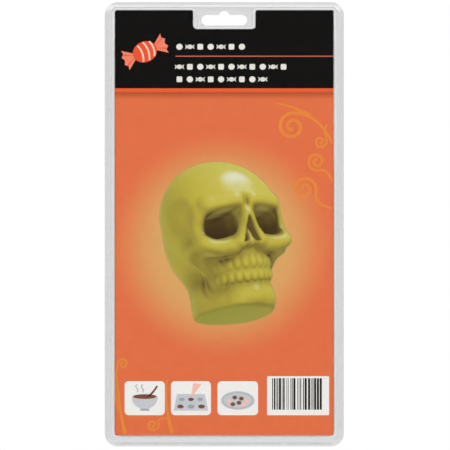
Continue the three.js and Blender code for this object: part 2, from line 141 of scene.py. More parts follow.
# Mould sheets
MOULD_CORNER = 5.0
MOULD_FRONT = face_low[1]
BEAD_INSET = 5.0
BEAD_CORNER = 10.0
BEAD_DEPTH = 1.6
BEAD_SPAN = 2.5
BEAD_SIDE_SHARE = 0.36
BEAD_START = 0.25
STUD_RADIUS = 2.4
STUD_HEIGHT = 1.1
STUD_FIT = 0.3
STUD_FROM_MIDDLE = 43.0
STUD_FROM_END = 13.0
# A stud's rings: how much wider than the stud, at what share of its height
STUD_SHAPE = ((0.15, 0), (0, 0.12), (-0.2, 0.8), (-0.35, 0.96), (-0.6, 1))

# How much painted highlight a bend gets, and how clear a flat part is, from 0 to 1
CROWN_HIGHLIGHT_FALL = 3.5
FOOT_HIGHLIGHT = 0.1
RIDGE_HIGHLIGHT = 0.2
RELIEF_HIGHLIGHT = 0.25
MOULD_BEAD_HIGHLIGHT = 0.3
SOFT_BEND_HIGHLIGHT = 0.4
TIGHT_BEND_HIGHLIGHT = 0.5
LEDGE_HIGHLIGHT = 0.6
LEDGE_CLEAR = 0.5
TRAY_CLEAR = 0.8

pack_half_width = cover_high[0]
pack_top, pack_bottom = cover_high[2], cover_low[2]
card_half_width = card_high[0]
mould_half_width = face_high[0]
crease_height = (face_high[2] + back_low[2]) / 2


def linear(colour):
    """A colour written as 0 to 255 screen values, as linear values from 0 to 1."""
    c = np.asarray(colour, float) / 255
    return np.where(c <= 0.04045, c / 12.92, ((c + 0.055) / 1.055) ** 2.4)


def smooth(low, high, value):
    """From 0 at low to 1 at high, with soft ends."""
    t = np.clip((np.asarray(value, float) - low) / (high - low), 0, 1)
    return t * t * (3 - 2 * t)


# Outlines in X and Z


def rounded(corners, offset=0.0, steps=10):
    """Points of a right-angled outline, anticlockwise seen from the front, moved outward by an offset.

    Each corner is (x, z, radius) and gives as many points whatever the offset, so outlines can be joined.
    """
    points = []
    for i, (x, z, radius) in enumerate(corners):
        here = np.array((x, z))
        before = np.array(corners[i - 1][:2])
        after = np.array(corners[(i + 1) % len(corners)][:2])
        into = (here - before) / np.linalg.norm(here - before)
        out = (after - here) / np.linalg.norm(after - here)
        turn = np.sign(into[0] * out[1] - into[1] * out[0])
        r = max(radius + turn * offset, 0.1)
        centre = here + np.array((into[1] + out[1], -into[0] - out[0])) * offset - into * r + out * r
        for angle in np.linspace(0, math.pi / 2, steps + 1):
            points.append(centre - out * r * math.cos(angle) + into * r * math.sin(angle))
    return np.array(points)


def rectangle(half_width, bottom, top, radius):
    return [
        (-half_width, bottom, radius),
        (half_width, bottom, radius),
        (half_width, top, radius),
        (-half_width, top, radius),
    ]


def oval(x, z, across, up, sides=28):
    angles = np.linspace(0, 2 * math.pi, sides, endpoint=False)
    return np.stack([x + across * np.cos(angles), z + up * np.sin(angles)], 1)


def circle(x, z, radius, sides=28):
    return oval(x, z, radius, radius, sides)


def hang_slot():
    """The slot's outline: a bar with round ends and a hump in the middle of its top."""
    r = SLOT_BAR_RADIUS
    end = SLOT_HALF_WIDTH - r
    hump_middle = r + SLOT_HUMP_RISE - SLOT_HUMP_RADIUS
    start = math.asin((r - hump_middle) / SLOT_HUMP_RADIUS)

    def arc(x, z, radius, first, last, count):
        angles = np.linspace(first, last, count)
        return [(x + radius * math.cos(t), SLOT_BAR_MIDDLE + z + radius * math.sin(t)) for t in angles]

    quarter = math.pi / 2
    return np.array(
        arc(end, 0, r, -quarter, quarter, 17)
        + arc(0, hump_middle, SLOT_HUMP_RADIUS, start, math.pi - start, 15)
        + arc(-end, 0, r, quarter, 3 * quarter, 17)
    )


def shrink(outline, distance):
    """An outline moved inward by a small distance, point by point."""
    along = np.roll(outline, -1, 0) - np.roll(outline, 1, 0)
    along /= np.maximum(np.linalg.norm(along, axis=1, keepdims=True), 1e-9)
    return outline + np.stack([-along[:, 1], along[:, 0]], 1) * distance


def quarter_turn(steps, outward_first=True):
    """Pairs (sideways, forward) of a quarter circle, from one flat to the next, each from 0 to 1."""
    angles = np.linspace(0, math.pi / 2, steps + 1)
    if outward_first:
        return [(1 - math.cos(a), math.sin(a)) for a in angles]
    return [(math.sin(a), 1 - math.cos(a)) for a in angles]


pack_corners = rectangle(pack_half_width, pack_bottom, pack_top, PACK_CORNER)
card_corners = [
    (-card_half_width, card_low[2], CARD_CORNER),
    (card_half_width, card_low[2], CARD_CORNER),
    (card_half_width, card_high[2], CARD_CORNER),
    (NOTCH_HALF_WIDTH, card_high[2], CARD_CORNER),
    (NOTCH_HALF_WIDTH, NOTCH_BOTTOM, NOTCH_CORNER),
    (-NOTCH_HALF_WIDTH, NOTCH_BOTTOM, NOTCH_CORNER),
    (-NOTCH_HALF_WIDTH, card_high[2], CARD_CORNER),
    (-card_half_width, card_high[2], CARD_CORNER),
]
ledge_bottom, ledge_top = face_low[2] - TRAY_FIT, back_high[2] + TRAY_FIT
ledge_corners = rectangle(mould_half_width + TRAY_FIT, ledge_bottom, ledge_top, LEDGE_CORNER)


# Meshes from rings and flat fills


class Skin:
    """One surface made of rings of points, bands between rings and flat fills, in millimetres.

    Rings run anticlockwise seen from the front, so every face looks to the front, or into a hollow.
    """

    SUPPORT = 0.06

    def __init__(self):
        self.points = []
        self.faces = []
        self.marks = []

    # bend is the share of painted highlight a point gets, and clear how clear the sheet is there
    def ring(self, outline, depth, bend=0.0, clear=0.0):
        first = len(self.points)
        self.points += [(x, depth, z) for x, z in outline]
        self.marks += [(bend, clear)] * len(outline)
        return list(range(first, len(self.points)))

    def bands(self, rings):
        """Faces between each ring and the next. Gives the first and the last ring."""
        for outer, inner in zip(rings, rings[1:]):
            for i in range(len(outer)):
                j = (i + 1) % len(outer)
                self.faces.append((outer[i], outer[j], inner[j], inner[i]))
        return rings[0], rings[-1]

    def terrace(self, corners, rows):
        """Bands that follow one outline, each row an (offset, depth, bend, clear)."""
        return self.bands([self.ring(rounded(corners, offset), *rest) for offset, *rest in rows])

    def edge(self, corners, depth):
        """A flat sheet's edge. Gives the support ring just inside it."""
        return self.terrace(corners, [(0, depth), (-self.SUPPORT, depth)])[1]

    def fill(self, outer, holes=()):
        """A flat face between an outer ring and the rings of its holes."""
        loops = [outer, *holes]
        flat = [[Vector((self.points[i][0], self.points[i][2], 0)) for i in loop] for loop in loops]
        index = [i for loop in loops for i in loop]
        for tri in tessellate_polygon(flat):
            a, b, c = (index[t] for t in tri)
            (ax, _, az), (bx, _, bz), (cx, _, cz) = (self.points[i] for i in (a, b, c))
            facing = (bx - ax) * (cz - az) - (bz - az) * (cx - ax)
            if abs(facing) > 1e-9:
                self.faces.append((a, b, c) if facing > 0 else (a, c, b))

    def grid(self, first, width, height):
        """Faces of a grid of points that start at first, in rows of the width given."""
        for r in range(height - 1):
            for a in range(first + r * width, first + (r + 1) * width - 1):
                self.faces.append((a, a + 1, a + width + 1, a + width))

    def mesh(self, name):
        data = bpy.data.meshes.new(name)
        data.from_pydata([tuple(c * MM for c in p) for p in self.points], [], self.faces)
        for mark, values in zip(("bend", "clear"), np.array(self.marks, np.float32).T):
            data.attributes.new(mark, "FLOAT", "POINT").data.foreach_set("value", values.copy())
        data.update()
        return data


def link_object(name, data):
    obj = bpy.data.objects.new(name, data)
    bpy.context.scene.collection.objects.link(obj)
    return obj


def add_print(name, data, material):
    obj = link_object(name, data)
    data.materials.append(material)
    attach(obj, "cover")
    return obj


def thicken(obj, slot):
    """Gives a skin its clear sheet: material, thickness away from its front, and sharp cut edges."""
    material, sheet = clear_sheets[slot]
    data = obj.data
    data.shade_smooth()
    data.materials.append(material)
    solid = obj.modifiers.new("sheet", "SOLIDIFY")
    solid.thickness = sheet * MM
    solid.offset = -1
    solid.use_even_offset = True
    solid.use_quality_normals = True
    data.set_sharp_from_angle(angle=SHARP_ABOVE)


def add_sheet(name, skin, slot, body, node):
    obj = link_object(name, skin.mesh(name))
    thicken(obj, slot)
    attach(obj, body)
    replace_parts(obj, node)


def add_plate(skin, outline, holes, front, back, chamfer=0.0):
    """A flat closed plate with an edge and maybe holes, all anticlockwise."""
    ends = []
    for n, loop in enumerate((outline, *holes)):
        rings = [skin.ring(loop, front + chamfer), skin.ring(loop, back - chamfer)]
        if chamfer:
            inset = shrink(loop, -chamfer if n else chamfer)
            rings = [skin.ring(inset, front), *rings, skin.ring(inset, back)]
        skin.bands(rings if n else rings[::-1])
        ends.append((rings[0], rings[-1]))
    fronts, backs = zip(*ends)
    skin.fill(fronts[0], fronts[1:])
    before = len(skin.faces)
    skin.fill(backs[0], backs[1:])
    skin.faces[before:] = [face[::-1] for face in skin.faces[before:]]


# Materials. Noise has a scale, and the part of its range that counts.
WAVES, FROST = 38, 900
NOISE_SPAN = (0.3, 0.7)
# The white of the painted highlight on bends
BEND_HIGHLIGHT_WHITE = (0.94, 0.94, 0.94)
# How much clear plastic mirrors when seen straight on, and how much more at a slant
MIRROR_STRAIGHT, MIRROR_SLANT = 0.035, 0.9


class Nodes:
    """Short hand for a node tree. An input is a value or a socket, and a colour has three values."""

    def __init__(self, owner):
        owner.use_nodes = True
        self.owner = owner
        self.tree = owner.node_tree
        self.tree.nodes.clear()

    def put(self, given, target):
        if isinstance(given, bpy.types.NodeSocket):
            self.tree.links.new(given, target)
        else:
            target.default_value = (*given, 1) if target.type == "RGBA" else given

    def add(self, kind, *inputs, **named):
        """A node with its first inputs in order, then other inputs and settings by name."""
        node = self.tree.nodes.new(kind)
        for key, given in named.items():
            if hasattr(node, key):
                setattr(node, key, given)
            else:
                self.put(given, node.inputs[key.replace("_", " ")])
        for given, target in zip(inputs, node.inputs):
            self.put(given, target)
        return node

    def out(self, kind, *inputs, **named):
        """The first output of a new node."""
        return self.add(kind, *inputs, **named).outputs[0]

    def value(self, kind, *inputs):
        return self.out("ShaderNodeMath", *inputs, operation=kind)

    def ramp(self, *inputs):
        """A smooth ramp of a factor, between two values, perhaps to two other values."""
        return self.out("ShaderNodeMapRange", *inputs, interpolation_type="SMOOTHSTEP")

    def mix(self, factor, a, b):
        """A colour between two."""
        node = self.add("ShaderNodeMix", factor, data_type="RGBA")
        for given, target in zip((a, b), [s for s in node.inputs if s.type == "RGBA"]):
            self.put(given, target)
        return next(s for s in node.outputs if s.type == "RGBA")

    def mark(self, name, output="Fac"):
        return self.add("ShaderNodeAttribute", attribute_name=name).outputs[output]

    def noise(self, scale, detail=2):
        place = self.add("ShaderNodeTexCoord").outputs["Object"]
        return self.add("ShaderNodeTexNoise", place, Scale=scale, Detail=detail).outputs["Fac"]

    def bump(self, height, distance, strength=1.0):
        return self.out("ShaderNodeBump", Strength=strength, Distance=distance * MM, Height=height)

    def done(self, shader):
        self.add("ShaderNodeOutputMaterial", shader)
        return self.owner


def clear_plastic(name, tint, flat_tint, edge_tint_and_shade, haze, roughness, waviness, bend_highlight):
    """Thin clear sheet: light passes tinted, and darker where it is seen edge on, partly tint and partly
    painted shade; bends get a painted white highlight.
    """
    n = Nodes(bpy.data.materials.new(name))
    normal = n.bump(n.noise(WAVES), waviness)
    dull = n.ramp(n.noise(FROST), *NOISE_SPAN, roughness, roughness * 1.6)
    facing = n.add("ShaderNodeLayerWeight", Blend=0.5, Normal=normal).outputs["Facing"]
    flat = n.mix(n.mark("clear"), linear(tint), linear(flat_tint))
    # Darker where the sheet is seen edge on: partly the longer path through it, partly painted shade for the
    # dark lines of steep walls
    tinted = n.mix(n.value("POWER", facing, 3.0), flat, linear(edge_tint_and_shade))
    see = n.out("ShaderNodeBsdfTransparent", tinted)
    white = n.out("ShaderNodeBsdfPrincipled", BEND_HIGHLIGHT_WHITE, Roughness=dull, IOR=1.5, Normal=normal)
    gloss = n.out("ShaderNodeBsdfGlossy", Roughness=dull, Normal=normal)
    # The same reflection on both faces: a thin sheet has no total reflection inside it
    mirrored = n.value("MULTIPLY_ADD", n.value("POWER", facing, 5.0), MIRROR_SLANT, MIRROR_STRAIGHT)
    film = n.out("ShaderNodeMixShader", mirrored, see, gloss)
    # Painted white highlight on bends, plus the sheet's even haze
    white_share = n.value("ADD", n.value("MULTIPLY", n.mark("bend"), bend_highlight), haze)
    return n.done(n.out("ShaderNodeMixShader", white_share, film, white))


# Card print: places on the card, in millimetres
HEADER_BOTTOM = -41.2
STRIP_HEIGHT = 2.0
SHADE_HEIGHT = 4.6
GLOW_X, GLOW_Z = -1.2, -124.4
GLOW_INNER, GLOW_OUTER = 31.0, 62.0
INK = 0.03
INK_SHARE = 0.9
EDGE_BAND = 0.08
PRINT_SHINE = 0.12
PIT_DEPTH = 0.01
PRINT_MOTTLE = 0.1
# Scales of the noise in the inks, in the printed areas and in the bare board, and the board's tones
INK_CLOUDS, PRINT_CLOUDS, BOARD_FIBRES = 260, 300, 420
BOARD_TONES = (0.93, 1.06)
SHADE_SHARE = 0.9

BLACK = (9, 6, 5)
STRIP = (236, 96, 50)
STRIP_SHADE = (178, 84, 42)
PANEL = (229, 115, 71)
GLOW = (222, 168, 102)
CARD_WHITE = (238, 236, 232)
CARD_BACK = (208, 203, 194)
GOLD = (229, 136, 56)
WRAPPER = (240, 134, 104)
SWEET = (232, 84, 46)
STRIPE = (249, 205, 186)
CREAM = (232, 228, 220)
RULE = (208, 110, 84)
SILVER = (196, 200, 204)
GREY = (158, 163, 168)
BROWN = (126, 78, 60)
BLUSH = (244, 190, 172)
BAR_BLACK = (34, 28, 26)


def printed(n, colour, dull, grain, pits, pit_strength):
    """Coated board in a colour: its roughness varies with a fine grain, and it has faint pits."""
    rough = n.ramp(n.noise(grain), *NOISE_SPAN, *dull)
    normal = n.bump(n.noise(pits), PIT_DEPTH, pit_strength)
    board = n.add("ShaderNodeBsdfPrincipled", colour, Roughness=rough, IOR=1.45, Normal=normal)
    n.put(PRINT_SHINE, board.inputs["Specular IOR Level"])
    return n.done(board.outputs[0])


def ink(name, colour, mottle=0.05):
    """An even ink with a slight mottle."""
    n = Nodes(bpy.data.materials.new(name))
    base = linear(colour)
    cloudy = n.mix(n.noise(INK_CLOUDS, detail=3), base * (1 - mottle), base * (1 + mottle))
    return printed(n, cloudy, dull=(0.405, 0.495), grain=1500, pits=2200, pit_strength=0.3)


def mottled_print(n, colour):
    """A printed area with several colours, mottled a little darker."""
    cloudy = n.mix(n.value("MULTIPLY", n.noise(PRINT_CLOUDS, detail=3), PRINT_MOTTLE), colour, (0, 0, 0))
    return printed(n, cloudy, dull=(0.42, 0.55), grain=1300, pits=1900, pit_strength=0.4)


def panel_colour(n):
    """The panel's colour as a socket: orange, glowing round the skull. Also the sockets for Y and Z."""
    xyz = n.add("ShaderNodeSeparateXYZ", n.add("ShaderNodeTexCoord").outputs["Object"])
    x, y, z = xyz.outputs
    dx = n.value("SUBTRACT", x, GLOW_X * MM)
    dz = n.value("SUBTRACT", z, GLOW_Z * MM)
    radius = n.value("SQRT", n.value("ADD", n.value("MULTIPLY", dx, dx), n.value("MULTIPLY", dz, dz)))
    glow = n.ramp(radius, GLOW_INNER * MM, GLOW_OUTER * MM, 1, 0)
    return n.mix(glow, linear(PANEL), linear(GLOW)), y, z


def card_material():
    """The card: black header, orange strip, a panel that glows round the skull, and plain board behind."""
    n = Nodes(bpy.data.materials.new("card_print"))
    colour, y, z = panel_colour(n)
    strip_bottom = HEADER_BOTTOM - STRIP_HEIGHT
    shade = n.ramp(z, (strip_bottom - SHADE_HEIGHT) * MM, strip_bottom * MM)
    colour = n.mix(n.value("MULTIPLY", shade, SHADE_SHARE), colour, linear(STRIP_SHADE))
    board = n.mix(n.noise(BOARD_FIBRES, detail=4), *(linear(CARD_BACK) * tone for tone in BOARD_TONES))
    for at, above, over in (
        (z, strip_bottom, linear(STRIP)),
        (z, HEADER_BOTTOM, linear(BLACK)),
        (y, card_low[1] + EDGE_BAND, linear(CARD_WHITE)),
        (y, card_high[1] - EDGE_BAND, board),
    ):
        colour = n.mix(n.value("GREATER_THAN", at, above * MM), colour, over)
    return mottled_print(n, colour)


def picture_material():
    """The skull picture's inks. Where a cell is only partly skull, the panel's own colour shows."""
    n = Nodes(bpy.data.materials.new("skull_print"))
    return mottled_print(n, n.mix(n.mark("part"), panel_colour(n)[0], n.mark("picture", "Color")))


# Pieces of the pack


def crease_bead(skin, flange, rise):
    """The ridge pressed along the crease. Gives the ring at its foot."""
    middle = pack_bottom + BEAD_FROM_CREASE
    half = pack_half_width - PACK_CORNER
    corners = rectangle(half, middle - CREASE_BEAD, middle + CREASE_BEAD, CREASE_BEAD - BEAD_END_SLACK)
    shares = np.linspace(0, BEAD_SHARE, 9)
    # The ridge gets a painted highlight
    rows = [(-CREASE_BEAD * t, flange + rise * smooth(0, 1, t), RIDGE_HIGHLIGHT) for t in shares]
    foot, top = skin.terrace(corners, rows)
    skin.fill(top)
    return foot


def snap_domes(skin, flange, radius, height):
    """The snap domes in the flange's top corners. Gives the rings at their feet."""
    feet = []
    # Each dome gets a painted highlight
    for side in (-1, 1):
        x, z = side * (pack_half_width - SNAP_FROM_EDGE), pack_top - SNAP_FROM_EDGE
        rings = [
            skin.ring(circle(x, z, radius * math.cos(a)), flange - height * math.sin(a), TIGHT_BEND_HIGHLIGHT)
            for a in np.linspace(0, SNAP_ARC, 7)
        ]
        foot, top = skin.bands(rings)
        skin.fill(top)
        feet.append(foot)
    return feet


def fill_flange(skin, flange, around, snap_radius, snap_height, ridge_rise):
    """The flat flange, from its edge to the ring around what stands inside it."""
    inside = skin.edge(pack_corners, flange)
    slot = skin.ring(hang_slot(), flange)
    snaps = snap_domes(skin, flange, snap_radius, snap_height)
    skin.fill(inside, [around, slot, crease_bead(skin, flange, ridge_rise), *snaps])


def front_cover():
    """The flange with its hang slot, and the window that stands up round the card."""
    face = cover_low[1]
    flange = -PACK_SHEET
    outer = CARD_FIT + PACK_SHEET
    foot = outer + WINDOW_DRAFT
    # The window's foot gets a faint painted highlight, and its crown a painted highlight that fades down the
    # wall
    rows = [(foot + WINDOW_FOOT + Skin.SUPPORT, flange)]
    for s, f in quarter_turn(6, outward_first=False):
        rows.append((foot + WINDOW_FOOT * (1 - s), flange - WINDOW_FOOT * f, FOOT_HIGHLIGHT))
    for s, f in quarter_turn(10):
        white_share = (1 - s) ** CROWN_HIGHLIGHT_FALL
        rows.append((outer - WINDOW_FILLET * s, face + WINDOW_FILLET * (1 - f), white_share))
    rows.append((outer - WINDOW_FILLET - Skin.SUPPORT, face, 0, 1))
    skin = Skin()
    around, top = skin.terrace(card_corners, rows)
    skin.fill(top)
    fill_flange(skin, flange, around, SNAP_RADIUS + SNAP_SOCKET_WIDER, SNAP_HEIGHT, -CREASE_BEAD)
    add_sheet("cover_sheet", skin, "pack_clear", "cover", "front_cover")


def tray_outline(inset, depth):
    """The tray's wall at one depth: a rounded rectangle with flutes pressed into its long sides."""
    half = mould_half_width + TRAY_FIT - LEDGE_WIDTH - inset
    bottom, top = ledge_bottom + LEDGE_WIDTH + inset, ledge_top - LEDGE_WIDTH - inset
    corners = np.split(rounded(rectangle(half, bottom, top, TRAY_CORNER - inset)), 4)
    points = []
    for i, arc in enumerate(corners):
        points += list(arc)
        start, stop = arc[-1], corners[(i + 1) % 4][0]
        steps = SIDE_STEPS if i % 2 else END_STEPS
        points += [start + (stop - start) * t for t in np.linspace(0, 1, steps + 1)[1:-1]]
    points = np.array(points)
    bite = FLUTE_BITE * smooth(FLUTE_TOP - 1, FLUTE_TOP + 1, depth)
    if bite > 0:
        length = back_high[2] - face_low[2]
        reach = math.sqrt(FLUTE_RADIUS**2 - (FLUTE_RADIUS - FLUTE_BITE) ** 2) + FLUTE_EASE
        for i in range(FLUTE_COUNT):
            z = face_low[2] + (i + 0.5) / FLUTE_COUNT * length
            dent = bite * smooth(0, reach, reach - np.abs(points[:, 1] - z))
            on_side = np.abs(points[:, 0]) > half - FLUTE_SIDE
            points[:, 0] -= np.sign(points[:, 0]) * dent * on_side
    return points


def step(skin, corners, radius, start, end, bend, clears):
    """A rounded step in a sheet, from one depth to another. Gives its outer and its inner ring."""
    way = math.copysign(radius, end - start)
    outside, between, inside = clears
    rows = [(radius + Skin.SUPPORT, start, 0, outside)]
    for s, f in quarter_turn(5, outward_first=False):
        rows.append((radius * (1 - s), start + way * f, bend, between))
    has_wall = abs(end - start) > 2 * radius + Skin.SUPPORT
    for s, f in quarter_turn(5)[0 if has_wall else 1 :]:
        rows.append((-radius * s, end - way * (1 - f), bend, between))
    rows.append((-radius - Skin.SUPPORT, end, 0, inside))
    return skin.terrace(corners, rows)


def back_shell():
    """The back flange, the ledge that seats the mould, and the deep tray."""
    floor = shell_high[1] - PACK_SHEET
    skin = Skin()
    # The ledge's step, the tray's lip, its bottom fillet and the panels' steps get a painted highlight
    clears = (0, 0, LEDGE_CLEAR)
    around, ledge = step(skin, ledge_corners, LEDGE_ROUND, 0, LEDGE_DEPTH, LEDGE_HIGHLIGHT, clears)
    fill_flange(skin, 0, around, SNAP_RADIUS, SNAP_HEIGHT * SNAP_UNDER_SOCKET, CREASE_BEAD)

    def wall(inset, outline_depth, depth, bend=0.0):
        return skin.ring(tray_outline(inset, outline_depth), depth, bend, TRAY_CLEAR)

    walls = [wall(-TRAY_LIP - Skin.SUPPORT, LEDGE_DEPTH, LEDGE_DEPTH)]
    for s, f in quarter_turn(6, outward_first=False):
        walls.append(wall(-TRAY_LIP * (1 - s), LEDGE_DEPTH, LEDGE_DEPTH + TRAY_LIP * f, TIGHT_BEND_HIGHLIGHT))
    straight_end = floor - TRAY_FILLET
    for y in (*WALL_DEPTHS, straight_end):
        walls.append(wall(TRAY_DRAFT * (y - LEDGE_DEPTH) / (floor - LEDGE_DEPTH), y, y))
    for s, f in quarter_turn(10)[1:]:
        walls.append(wall(TRAY_DRAFT + TRAY_FILLET * s, floor, straight_end + TRAY_FILLET * f, SOFT_BEND_HIGHLIGHT))
    walls.append(wall(TRAY_DRAFT + TRAY_FILLET + Skin.SUPPORT, floor, floor))
    lip, bottom = skin.bands(walls)
    skin.fill(ledge, [lip])
    panels = []
    for low, high in (
        (face_low[2] + PANEL_BORDER, crease_height - PANEL_BAR / 2),
        (crease_height + PANEL_BAR / 2, back_high[2] - PANEL_BORDER),
    ):
        corners = rectangle(mould_half_width - PANEL_BORDER, low, high, PANEL_CORNER)
        clears = (TRAY_CLEAR, TRAY_CLEAR, TRAY_CLEAR)
        outer, inner = step(skin, corners, PANEL_RECESS / 2, floor, floor - PANEL_RECESS, SOFT_BEND_HIGHLIGHT, clears)
        skin.fill(inner)
        panels.append(outer)
    skin.fill(bottom, panels)
    add_sheet("tray_sheet", skin, "pack_clear", "tray", "back_shell")


def printed_card():
    skin = Skin()
    add_plate(skin, rounded(card_corners), (), card_low[1], card_high[1], CARD_CHAMFER)
    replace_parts(add_print("card_board", skin.mesh("card_board"), card_material()), "printed_card")


def print_layer(name, shapes, material, lift=1):
    """Thin inked shapes on the card, `lift` layers up. A shape is an outline and maybe its holes."""
    front = card_low[1] - INK * lift
    skin = Skin()
    for outline, *holes in shapes:
        add_plate(skin, outline, holes, front, front + INK * INK_SHARE)
    add_print(name, skin.mesh(name), material)


# Mould halves. Heights of the relief run from the skull's flat base up to its crown.
SKULL_HEIGHT = 85.0
SKULL_HALF_WIDTH = 33.0
WIDEST_AT = 55.0
BASE_TO_END = 10.0
BASE_WALL = 1.6
FACE_DEPTH = 34.0
FACE_FULLNESS = 0.92
HEAD_BACK_DEPTH = 31.0
ROUNDNESS = 2.3
RIM_RADIUS = 0.6
RIM_ANGLES = np.radians((0, 22, 45, 68))
BASE_ROWS = 12

# Shares of the half width or depth, at shares of the widest height
OUTLINE_KNOTS = [(0, 0.59), (0.18, 0.66), (0.36, 0.7), (0.51, 0.77)]
OUTLINE_KNOTS += [(0.65, 0.885), (0.75, 0.93), (0.85, 0.94), (1, 1)]
FACE_KNOTS = [(0, 0.76), (0.09, 0.79), (0.18, 0.93), (0.25, 0.96), (0.33, 0.92), (0.44, 0.98)]
FACE_KNOTS += [(0.56, 0.96), (0.69, 0.91), (0.82, 0.89), (0.91, 0.91), (1, 1)]
HEAD_BACK_KNOTS = [(0, 0.5), (0.22, 0.52), (0.45, 0.66), (0.73, 0.9), (1, 1)]

# Swellings and hollows of the face: across, up, width, height, rise
SWELLS = [
    (23, 38.6, 6.5, 4.2, 5),
    (0, 47.5, 3, 6, 3.6),
    (0, 27, 13, 8, 2.2),
    (0, 12.5, 8, 4, 2.2),
    (20, 28, 5, 6, -4.8),
    (28.5, 53, 6, 6, -3),
]
EYE_ACROSS = 12.9
BROW_UP, BROW_RISE = 57.6, 3.4
EYE_UP, EYE_HALF_WIDTH, EYE_HALF_HEIGHT, EYE_DEPTH, EYE_SQUARENESS = 47.2, 9.8, 8.4, 14, 3.2
NOSE_UP, NOSE_HEIGHT, NOSE_HALF_WIDTH, NOSE_TAPER, NOSE_DEPTH = 33.5, 12, 5.4, 0.82, 8.5
TEETH_FROM, TEETH_TO, BITE_UP = 17, 30, 23.4
TOOTH_WIDTH, TEETH_REACH, TEETH_SHARE = 3, 12, 0.84
TOOTH_RISE, GAP_DEPTH, BITE_DEPTH = 0.9, 1.6, 1.8


def through(knots, at):
    """A smooth curve through a few (place, value) knots."""
    x, y = np.array(knots, float).T
    slope = np.gradient(y, x, edge_order=1)
    k = np.clip(np.searchsorted(x, at, "right") - 1, 0, len(x) - 2)
    span = x[k + 1] - x[k]
    t = np.clip((at - x[k]) / span, 0, 1)
    t2, t3 = t * t, t * t * t
    start = (2 * t3 - 3 * t2 + 1) * y[k] + (t3 - 2 * t2 + t) * span * slope[k]
    return start + (3 * t2 - 2 * t3) * y[k + 1] + (t3 - t2) * span * slope[k + 1]


def profile(knots, v):
    """Follows the knots up to the widest height, then the crown's quarter ellipse."""
    crown = np.sqrt(np.clip(1 - ((v - WIDEST_AT) / (SKULL_HEIGHT - WIDEST_AT)) ** 2, 0, 1))
    return np.where(v < WIDEST_AT, through(knots, v / WIDEST_AT), crown)


def dome(share):
    """How full the relief is across its width, from the middle at 0 to the rim at 1."""
    return np.sqrt(np.clip(1 - np.abs(share) ** ROUNDNESS, 0, 1))


def bell(offset, width):
    return np.exp(-((offset / width) ** 2))


def face_relief(x, v, share):
    """How deep the face half's cavity is at a place across and up."""
    side = np.abs(x)
    plain = FACE_DEPTH * FACE_FULLNESS * profile(FACE_KNOTS, v) * dome(share)
    features = sum(rise * bell(side - a, w) * bell(v - u, h) for a, u, w, h, rise in SWELLS)
    # brow
    line = BROW_UP - 0.01 * (side - EYE_ACROSS) ** 2
    features += BROW_RISE * smooth(0.5, 4, side) * (1 - smooth(20, 26, side)) * bell(v - line, 3)
    # eye socket
    across = np.abs(side - EYE_ACROSS) / EYE_HALF_WIDTH
    up = np.abs(v - EYE_UP + 0.06 * (side - EYE_ACROSS)) / EYE_HALF_HEIGHT
    reach = (across**EYE_SQUARENESS + up**EYE_SQUARENESS) ** (1 / EYE_SQUARENESS)
    features -= EYE_DEPTH * (1 - smooth(0.5, 1.1, reach))
    # nose opening, narrower towards its top
    rise = (v - NOSE_UP) / NOSE_HEIGHT
    inside = 1 - smooth(0.55, 1.25, side / (NOSE_HALF_WIDTH * (1 - NOSE_TAPER * np.clip(rise, 0, 1))))
    features -= NOSE_DEPTH * inside * smooth(-0.2, 0.12, rise) * (1 - smooth(0.85, 1.1, rise))
    # two rows of teeth, with the bite between them
    column = share / TEETH_SHARE * TEETH_REACH
    in_rows = smooth(-1.5, 1, v - TEETH_FROM) * (1 - smooth(-2, 2, v - TEETH_TO))
    in_arch = 1 - smooth(-2, 1, np.abs(column) - TEETH_REACH)
    gap = bell(np.abs(column / TOOTH_WIDTH - np.round(column / TOOTH_WIDTH)), 0.16)
    features += in_rows * in_arch * (TOOTH_RISE - GAP_DEPTH * gap - BITE_DEPTH * bell(v - BITE_UP, 1.1))
    return np.minimum(plain + features * smooth(0, 0.25, 1 - np.abs(share)), FACE_DEPTH)


def head_back_relief(x, v, share):
    """How deep the other half's cavity is: a plain cranium and neck."""
    return HEAD_BACK_DEPTH * profile(HEAD_BACK_KNOTS, v) * dome(share)


def relief_grid(skin, relief, place, across, up, crown):
    """The cavity's surface as a grid, and the ring round its rim."""
    share = np.sin(np.linspace(-1, 1, 2 * across + 1) * math.pi / 2)
    crown_rise = np.sin(np.arange(1, crown) / crown * math.pi / 2)
    rows = np.concatenate(
        [
            BASE_WALL * (np.arange(BASE_ROWS) / BASE_ROWS) ** 2,
            np.linspace(BASE_WALL, WIDEST_AT, up),
            WIDEST_AT + (SKULL_HEIGHT - WIDEST_AT) * crown_rise,
        ]
    )
    s, v = np.meshgrid(share, rows)
    x = s * SKULL_HALF_WIDTH * profile(OUTLINE_KNOTS, v)
    depth = relief(x, v, s) * np.sqrt(np.minimum(v / BASE_WALL, 1))
    depth = np.maximum(depth, RIM_RADIUS)
    width, height = len(share), len(rows)
    first = len(skin.points)
    for across_at, up_at, y in zip(x.ravel(), v.ravel(), depth.ravel()):
        px, pz = place(across_at, up_at)
        skin.points.append((px, MOULD_FRONT + y, pz))
    pole = len(skin.points)
    skin.points.append((place(0, 0)[0], MOULD_FRONT + RIM_RADIUS, place(0, SKULL_HEIGHT)[1]))
    # The cavity gets a faint painted highlight
    skin.marks += [(RELIEF_HIGHLIGHT, 0.0)] * (x.size + 1)
    skin.grid(first, width, height)
    top = first + (height - 1) * width
    skin.faces += [(top + c, top + c + 1, pole) for c in range(width - 1)]
    rim = [first + c for c in range(width)]
    rim += [first + r * width + width - 1 for r in range(1, height)]
    rim += [pole]
    rim += [first + r * width for r in range(height - 1, 0, -1)]
    return rim


